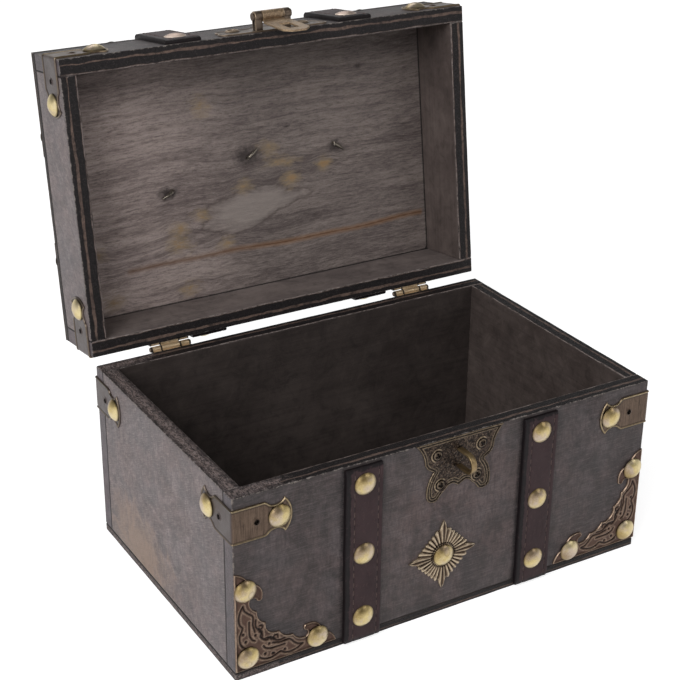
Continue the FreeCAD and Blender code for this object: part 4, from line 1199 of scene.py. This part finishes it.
# Brackets
def bracket_mesh(side_sign):
    """Two tabs round a corner, drawn flat with the corner at zero and then bent. side_sign says
    which tab lies on the side of the chest."""
    shift = 0.72
    edge = 16.7 / 2
    end = 0.5 * BRACKET_REACH + shift
    waist = 0.875 * BRACKET_REACH
    upper = trace((0.50, 0.50), (((0.56, 0.48), (0.60, 0.42)), ((0.70, 0.35), (0.875, 0.50))),
                  BRACKET_REACH, 2 * edge)
    head = arc3((waist, edge), (BRACKET_REACH, 0.0), (waist, -edge)) + [(waist, -edge)]
    lower = [(u, -w) for u, w in reversed(upper)]
    right = [(u + shift, w) for u, w in upper + head + lower]
    outline = clean(straight((-end, edge), (end, edge)) + right
                    + straight((end, -edge), (-end, -edge)) + mirrored(reversed(right)))
    holes = [circle(s * (BRACKET_SCREW + shift), 0, 0.9, 16) for s in (-1, 1)]

    def height(u, w, d):
        second = line_at(d, 1.1, 0.3)
        hub = np.hypot(np.abs(u) - BRACKET_SCREW - shift, w)
        rise = 0.62 + 0.3 * line_at(d, 0.45, 0.32) - 0.3 * np.clip(1 - d / 0.15, 0, 1)
        rise -= 0.1 * second
        hole = np.clip((1.5 - hub) / 0.4, 0, 1)
        return np.minimum(rise, 1.0), {
            "rim": np.where(hub < 2.2, 0.0, line_at(d, 0.4, 0.3)),
            "groove": np.maximum(0.6 * second * (hub > 2.2), hole),
            "side": np.clip((side_sign * u + 0.4) / 0.8, 0, 1)}

    verts, faces, values = relief(outline, height, 1.0, (0.15, 0.4, 0.7, 1.1), holes)
    half = 1.3 * math.pi / 4
    fold = 0.3
    bent = []
    for s, w, h in verts:
        if s > half:
            bent.append((fold + s - half, -h, w))
        elif s < -half:
            bent.append((-h, fold - s - half, w))
        else:
            a = math.radians(225 + 45 * s / half)
            bent.append((fold + (fold + h) * math.cos(a), fold + (fold + h) * math.sin(a), w))
    build = Build().add(bent, faces, values)
    cap = [(BRACKET_SCREW + x, -0.05 - 0.08 * k, z)
           for k, r in enumerate((1.0, 0.8, 0.4, 0.0)) for x, z in circle(0, 0, r, 12)]
    black = {"groove": [1.0] * len(cap)}
    build.add(cap, strip(4, 12), black)
    build.add([(y, x, z) for x, y, z in cap], [f[::-1] for f in strip(4, 12)], black)
    return build.mesh("bracket", [BRACKET])


tab_shapes = {1: bracket_mesh(1), -1: bracket_mesh(-1)}
for label, sx, sy, spin in (("front_left", -1, -1, 0), ("front_right", 1, -1, 90),
                            ("back_right", 1, 1, 180), ("back_left", -1, 1, -90)):
    shared = tab_shapes[-1 if spin in (0, 180) else 1]
    for prefix, body, z, place in (("base", "case", BRACKET_Z, SHUT),
                                   ("lid", "lid", LID_BRACKET_Z, OPEN)):
        spot = at(sx * HALF_W, sy * HALF_D, z) @ turn(spin, "Z")
        show(prefix + "_bracket_" + label, shared, place @ spot, body)


# Corner ornaments. Strokes and dots of one leg, the other leg has them swapped.
STROKES = (
    ((4, 33), (2.5, 30), (1.9, 27), (2.3, 24), (3.6, 22), (3, 20), (2.2, 18), (2.2, 15.5),
     (3, 13), (4.7, 11), (6, 10)),
    ((4, 33), (4.6, 30.5), (6.5, 28.3), (8.5, 26.5), (8.7, 24), (8.5, 22), (9, 20), (9.5, 18)),
    ((6.8, 24), (6.8, 20), (7, 17), (8, 14.5), (9.5, 13.5)),
    ((10, 24), (9.8, 21.5), (10.5, 19.5), (12.5, 17.5)),
    ((11.6, 20.6), (12.9, 20.4), (13.2, 19.2), (12.2, 18.4), (11.3, 19.3)),
    ((11, 18.5), (13, 17), (12, 15), (13.5, 13), (16, 13), (17.5, 11.5)),
)
DOTS = ((3.8, 18.6), (5.1, 14.4), (9.7, 16.3))
SINGLE_DOTS = [(14.3, 5), (18, 4), (24, 4), (5, 14.3)]
# Border of one leg from the corner: tip, lobe, curl, notch, stem and scallop
BORDER = (((0, 1),), ((0.006, 1.0),), ((0.068, 0.972), (0.121, 0.915)), ((0.151, 0.861),),
          ((0.247, 0.809), (0.268, 0.708)), ((0.237, 0.670), (0.207, 0.696)),
          ((0.173, 0.714), (0.141, 0.688)), ((0.159, 0.616), (0.215, 0.567)),
          ((0.233, 0.483), (0.298, 0.429)))


def smooth_line(points, step=0.5):
    """A curve through the points."""
    p = [np.array(q, float) for q in (points[0], *points, points[-1])]
    out = []
    for a, b, c, d in zip(p, p[1:], p[2:], p[3:]):
        count = max(2, int(np.hypot(*(c - b)) / step))
        for t in (k / count for k in range(count)):
            curve = (2 * a - 5 * b + 4 * c - d) * t * t + (3 * b - a - 3 * c + d) * t**3
            out.append(tuple(0.5 * (2 * b + (c - a) * t + curve)))
    return out + [points[-1]]


def ornament_mesh():
    leg = ORNAMENT_LEG
    border = trace((0, 0), BORDER, leg, leg)
    u, w = (share * leg for share in BORDER[-1][-1])
    middle = 0.326 * leg
    outline = clean(border + arc3((u, w), (middle, middle), (w, u)) + swapped(border[:0:-1]))
    lines = [smooth_line(s) for s in STROKES]
    lines += [swapped(line) for line in lines]
    dots = list(DOTS) + swapped(DOTS) + SINGLE_DOTS

    def height(u, w, d):
        points = np.stack([u, w], 1)
        cut = np.full(len(u), 1e9)
        for line in lines:
            cut = np.minimum(cut, segment_distance(points, line, False))
        for x, y in dots:
            cut = np.minimum(cut, np.maximum(np.hypot(u - x, w - y) - 0.25, 0))
        nail = np.minimum.reduce([np.hypot(u - x, w - y) for x, y in ORNAMENT_NAILS])
        free = np.clip(nail - 5.2, 0, 1)
        groove = line_at(cut, 0.0, 0.37) * free
        ridge = line_at(cut, 0.9, 0.26) * free
        second = line_at(d, 1.15, 0.3)
        rise = 0.5 + 0.38 * line_at(d, 0.4, 0.3) - 0.28 * np.clip(1 - d / 0.12, 0, 1)
        rise += 0.24 * ridge - 0.36 * groove - 0.14 * second + 0.06 * lumps(u, w, 0.35, 3.0)
        rim = np.maximum(line_at(d, 0.26, 0.19), 0.5 * ridge * (1 - groove))
        return np.clip(rise, 0.12, 0.9), {"rim": rim, "groove": np.maximum(groove, 0.5 * second)}

    skin = relief(outline, height, 0.5, (0.15, 0.35, 0.6, 0.9, 1.3))
    return Build().add(*skin).mesh("ornament", [COPPER])


shared = ornament_mesh()
for label, spot in base_ornaments.items():
    show("base_ornament_" + label, shared, spot, "case")
for label, spot in lid_ornaments.items():
    show("lid_ornament_" + label, shared, OPEN @ spot, "lid")


# Medallions
def medallion_mesh():
    """Four long leaf rays with seven rounded ribs between each pair."""
    around, up = 288, 26
    ray = 18.3
    quarter = math.pi / 2
    ray_width = math.radians(90 / 16) * 1.7
    points = []
    for k in range(up + 1):
        share = 0.14 + 0.86 * k / up
        for j in range(around):
            a = FULL * j / around
            bearing = a % quarter
            off = min(bearing, quarter - bearing)
            body = 16.8 / (math.cos(bearing) + math.sin(bearing))
            rib = abs(math.sin(math.pi * ((bearing / quarter * 8) % 1.0)))
            if off < ray_width:
                t = off / ray_width
                r = share * (ray + (0.87 * body - ray) * t**0.75)
                slit = math.exp(-(off * (share * ray) / 0.42) ** 2)
                z = 0.5 + 0.65 * max(0.0, 1 - t**2) - 0.5 * slit
                groove = max(slit * 0.95, t**8 * 0.9)
                crest = max(0.0, 1 - abs(t - 0.55) / 0.3) ** 1.5
            else:
                r = share * (body * (0.93 + 0.07 * rib))
                z = 0.4 + 0.6 * rib**0.8 * min(1.0, share * 1.3)
                groove = (1 - rib) ** 2.2
                crest = rib**5
            ring = math.exp(-((r - 6.1) / 0.45) ** 2)
            z = min(1.28, z + 0.35 * (1 - share) - 0.35 * max(0.0, (share - 0.93) / 0.07))
            groove = max(groove, ring)
            rim = 0.8 * max(crest, (share - 0.9) / 0.1) * (1 - groove) if share > 0.42 else 0.0
            points.append((r * math.cos(a), r * math.sin(a), max(0.1, z - 0.35 * ring), rim,
                           groove * (0.9 if share < 0.97 else 0.4)))
    points += [(x, y, 0.0, 0.4, 0.0) for x, y, *_ in points[-around:]]
    verts, values = parted(points, "rim", "groove")
    build = Build().add(verts, strip(up + 2, around, flip=True), values)
    return build.mesh("medallion", [MEDAL], 45)


shared = medallion_mesh()
show("base_medallion", shared, on_front(MEDAL_X, MEDAL_Z), "case")
show("lid_medallion", shared, OPEN @ on_top(MEDAL_X, MEDAL_LID_Y), "lid")


# Catch plate
def catch_mesh():
    """Butterfly plate with pressed borders, pebbled ground and a raised ring at each screw."""
    half = trace((0, 0), (
        ((1.0, 0.0),), ((0.84, 0.165), (0.782, 0.355)), ((0.72, 0.425),), ((0.58, 0.497),),
        ((0.705, 0.68), (0.722, 0.93)), ((0.603, 1.0), (0.46, 0.975)), ((0.39, 0.9), (0.31, 0.845)),
        ((0.225, 0.785), (0.12, 0.775)), ((0, 0.832),)), CATCH_HALF, -CATCH_DROP)
    outline = doubled(half, (0, -0.832 * CATCH_DROP))

    def height(u, w, d):
        lobes = np.clip((-w - 12.0) / 3.0, 0, 1)
        pebbles = [noise.voronoi(Vector((a * 1.3, b * 1.3, 3.0)))[0][0] for a, b in zip(u, w)]
        spread = np.array(pebbles)
        second, third = line_at(d, 1.5, 0.26), lobes * line_at(d, 2.7, 0.26)
        rise = 0.34 + 0.4 * line_at(d, 0.3, 0.22) + 0.22 * second + 0.2 * third
        rise += 0.16 * np.clip(1 - spread / 0.5, 0, 1) - 0.2 * np.clip(1 - d / 0.1, 0, 1)
        groove = np.maximum.reduce([
            line_at(d, 0.88, 0.34), lobes * line_at(d, 2.1, 0.3),
            0.7 * np.clip((spread - 0.42) / 0.25, 0, 1)])
        rim = np.maximum.reduce([
            0.85 * line_at(d, 0.22, 0.15), 0.4 * line_at(d, 1.5, 0.18),
            0.45 * lobes * line_at(d, 2.7, 0.18), 0.6 * np.clip(1 - spread / 0.32, 0, 1)])
        fan = line_at(np.hypot(u, w + 12.0), 9.0, 2.2) * (w < -9) * (w > -18)
        spokes = np.clip(np.sin(np.arctan2(w + 12.0, u) * 22) * 1.4, 0, 1) * fan
        rise += 0.12 * spokes * (d > 2.4)
        for x, y in ((x, z - CATCH_TOP) for x, z in SCREWS):
            hub = np.hypot(u - x, w - y)
            side = np.clip(2 * np.cos(np.arctan2(w - y, u - x) - 2.6) + 0.9, 0, 1)
            rise = np.where(hub < 2.5, 0.3, rise) + 0.3 * line_at(hub, 3.0, 0.3) * side
            rim = np.where(hub < 3.6, 0.9 * line_at(hub, 3.0, 0.26) * side, rim)
            ditch = np.maximum(line_at(hub, 2.45, 0.35), 0.8 * line_at(hub, 3.55, 0.3) * side)
            groove = np.where(hub < 3.9, ditch, groove)
        for foot in (6.8, 15.2):
            leg = np.hypot(u / 1.4, (w + foot) / 0.8)
            groove = np.maximum(groove, np.clip(1.9 - leg, 0, 1) * 0.6)
        rise += 0.09 * (lumps(u, w, 0.5, 8.0) + 0.6 * lumps(u, w, 1.1, 2.0))
        return np.clip(rise, 0.1, 0.8), {"rim": rim, "groove": groove}

    skin = relief(outline, height, 0.36, (0.15, 0.4, 0.7, 1.1, 1.5))
    return Build().add(*skin).mesh("catch", [CATCH])


def screw_mesh():
    """The catch's four cross-headed screws, each turned its own way."""
    radius, height = 2.2, 1.1
    sphere = (radius**2 + height**2) / (2 * height)

    def shape(u, w, d):
        r = np.hypot(u, w)
        a, b = np.abs(u), np.abs(w)
        rise = height - sphere + np.sqrt(np.maximum(sphere**2 - r**2, 0))
        bars = np.minimum(np.maximum(a / 0.36, b / 1.4), np.maximum(b / 0.36, a / 1.4))
        slot = np.clip((1.25 - bars) / 0.5, 0, 1)
        return np.maximum(rise - 0.65 * slot, 0.05), {
            "rim": 0.6 * line_at(r, 1.75, 0.24), "groove": np.maximum(slot, 0.5 * (r > 2.05))}

    skin = relief(circle(0, 0, radius, 40), shape, 0.13, (0.1, 0.25))
    build = Build()
    for k, (x, z) in enumerate(SCREWS):
        build.add(*skin, on_front(LOCK_X + x, z, 0.5) @ turn(17 + 31 * k, "Z"))
    return build.mesh("screws", [SCREW])


show("catch_plate", catch_mesh(), on_front(LOCK_X, CATCH_TOP), "case")
show("catch_screws", screw_mesh(), SHUT, "case")


# Hasp plate
def hasp_mesh():
    """The shaped plate on the lid with its two ringed holes, and the ears that hold the pin."""
    half = trace((0, 0), (
        ((0.86, 0.0),), ((1.0, 0.22), (0.93, 0.47)), ((0.93, 0.75), (0.76, 0.95)),
        ((0.60, 0.86), (0.42, 0.84)), ((0.30, 0.88), (0.24, 1.0)), ((0, 1),)),
        HASP_HALF, HASP_RISE)
    hole_x, hole_z = HASP_HOLE
    holes = [circle(s * hole_x, hole_z, 2.1, 24) for s in (-1, 1)]

    def height(u, w, d):
        rise = 0.46 + 0.3 * line_at(d, 0.6, 0.4) - 0.2 * np.clip(1 - d / 0.15, 0, 1)
        notch = np.clip(np.sin(u * 2.1) * 1.6 - 0.3, 0, 1) * line_at(d, 2.6, 0.6)
        notch *= np.abs(u) > 21
        rise += 0.07 * lumps(u, w, 0.4, 5.0) - 0.14 * line_at(d, 1.5, 0.3) - 0.22 * notch
        hub = np.hypot(np.abs(u) - hole_x, w - hole_z)
        ring = np.clip(1.6 - np.abs(hub - 2.9) * 1.5, 0, 1)
        groove = np.maximum.reduce([0.6 * line_at(d, 1.5, 0.28), 0.8 * notch,
                                    0.9 * line_at(hub, 4.0, 0.4), 1.0 * (hub < 2.35)])
        rim = np.maximum(line_at(d, 0.4, 0.25), 0.8 * ring * (hub > 2.35))
        return np.clip(rise, 0.1, 0.8) + 0.7 * ring, {"rim": rim, "groove": groove}

    skin = relief(doubled(half, (0, HASP_RISE)), height, 0.6, (0.15, 0.4, 0.7, 1.1, 1.5), holes)
    build = Build().add(*skin, OPEN @ on_front(LOCK_X, RIM_Z + 1.5))
    gap, width = 5.8, 4.0
    for x0 in (LOCK_X - gap - width, LOCK_X + gap):
        ear(build, x0, x0 + width)
    return build.mesh("hasp_plate", [HASP])


def ear(build, x0, x1):
    """A band folded round the pin: its two layers run back to the plate."""
    def fold(radius, lead, start, sweep):
        turns = [math.radians(start + sweep * i / 24) for i in range(25)]
        bow = [(HASP_Y + radius * math.cos(a), HASP_Z + radius * math.sin(a)) for a in turns]
        return [(-HALF_D, HASP_Z + lead)] + bow + [(-HALF_D, HASP_Z - lead)]

    outer, inner = fold(2.6, 2.0, 50, 260), fold(1.55, 0.35, 40, 280)
    full = 0.38
    points = []
    for x, puff in ((x0, 0.0), (x0 + 0.12, 0.22), (x0 + 0.35, 0.35), ((x0 + x1) / 2, full),
                    (x1 - 0.35, 0.35), (x1 - 0.12, 0.22), (x1, 0.0)):
        for (y, z), (iy, iz) in zip(outer, inner):
            dy, dz = y - iy, z - iz
            cut = (full - puff) / math.hypot(dy, dz)
            points.append((x, y - dy * cut, z - dz * cut, 0.9 if puff < 0.3 else 0.1, 0.0))
    n, base = len(outer), len(points)
    points += [(x, y, z, 0.0, 0.0) for x in (x0, x1) for y, z in inner]
    faces = strip(base // n, n, closed=False, flip=True)
    for a, b, c, d in ((0, 1, base + 1, base), (base - n, base + n, base + n + 1, base - n + 1),
                       (base, base + 1, base + n + 1, base + n)):
        faces += [(a + i, b + i, c + i, d + i) for i in range(n - 1)]
    verts, values = parted(points, "rim", "groove")
    build.add(verts, faces, values, OPEN)


show("hasp_plate", hasp_mesh(), SHUT, "lid")


# Carried-over nodes
def dress(name, material, width):
    """Gives a model node its finish and softens its edges."""
    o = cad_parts[name]
    o.data.materials.clear()
    o.data.materials.append(material)
    weld = o.modifiers.new("weld", "WELD")
    weld.merge_threshold = 1e-6
    bevel = o.modifiers.new("bevel", "BEVEL")
    bevel.width = width * MM
    bevel.segments = 2
    bevel.limit_method = "ANGLE"
    bevel.angle_limit = math.radians(32)
    bevel.harden_normals = True


dress("catch_staple", STAPLE, 0.3)
dress("hasp_flap", FLAPM, 0.22)
dress("hasp_pin", PIN, 0.25)
dress("hasp_nails", SOOT, 0.1)
for name, material in (("base_leaf", HINGE), ("lid_leaf", HINGE), ("pin", PIN)):
    for side in ("left", "right"):
        dress("hinge_%s_%s" % (name, side), material, 0.12)
for name in ("hinge_base_screws", "hinge_lid_screws"):
    dress(name, SCREW, 0.08)


# Floor, light, camera
scene = bpy.context.scene
floor_mesh = bpy.data.meshes.new("floor")
floor_mesh.from_pydata([(-6, -6, 0), (6, -6, 0), (6, 6, 0), (-6, 6, 0)], [], [(0, 1, 2, 3)])
floor_mesh.materials.append(floor_shade("floor_pale"))
placed("floor", floor_mesh)

world = bpy.data.worlds.new("studio")
scene.world = world
world.use_nodes = True
air = world.node_tree
air.nodes.clear()
coords = node(air, "TexCoord")
upward = node(air, "SeparateXYZ", Vector=coords.outputs["Generated"]).outputs[2]
fade = ranged(air, upward, 0.02, 0.4, 1.0, 0.1)
dim = node(air, "Background", Color=(1, 1, 1, 1), Strength=0.34)
white = node(air, "Background", Color=(1, 1, 1, 1), Strength=fade)
mixed = node(air, "MixShader")
for socket, part in zip(mixed.inputs, (seen(air), dim.outputs[0], white.outputs[0])):
    plug(air, socket, part)
node(air, "OutputWorld", Surface=mixed.outputs[0])


def looking(place, target):
    """The turn of a lamp or camera that looks from place to target."""
    return (Vector(target) - Vector(place)).to_track_quat("-Z", "Y")


def lamp(name, place, size, power):
    light = bpy.data.lights.new(name, "AREA")
    light.shape = "RECTANGLE"
    light.size, light.size_y = size
    light.energy = power
    o = placed(name, light)
    o.location = place
    o.rotation_euler = looking(place, (0, 0, 0.1)).to_euler()


lamp("key", (-1.25, -0.75, 1.15), (1.1, 1.1), 23.0)
lamp("fill", (0.95, -1.1, 1.15), (0.55, 0.55), 3.4)
lamp("back", (0.2, 1.4, 1.3), (1.2, 0.8), 6.0)

camera_data = bpy.data.cameras.new("camera")
camera_data.lens = 83.05
camera_data.sensor_width = 36.0
camera_data.clip_start = 0.01
camera = placed("camera", camera_data)
where = (-0.3539, -0.5646, 0.4211)
turned = looking(where, (-0.01713, 0.0, 0.11223)).to_matrix().to_4x4() @ turn(0.604, "Z")
camera.matrix_world = at(*where) @ turned
scene.camera = camera
scene.view_settings.view_transform = "Standard"

bpy.context.view_layer.update()
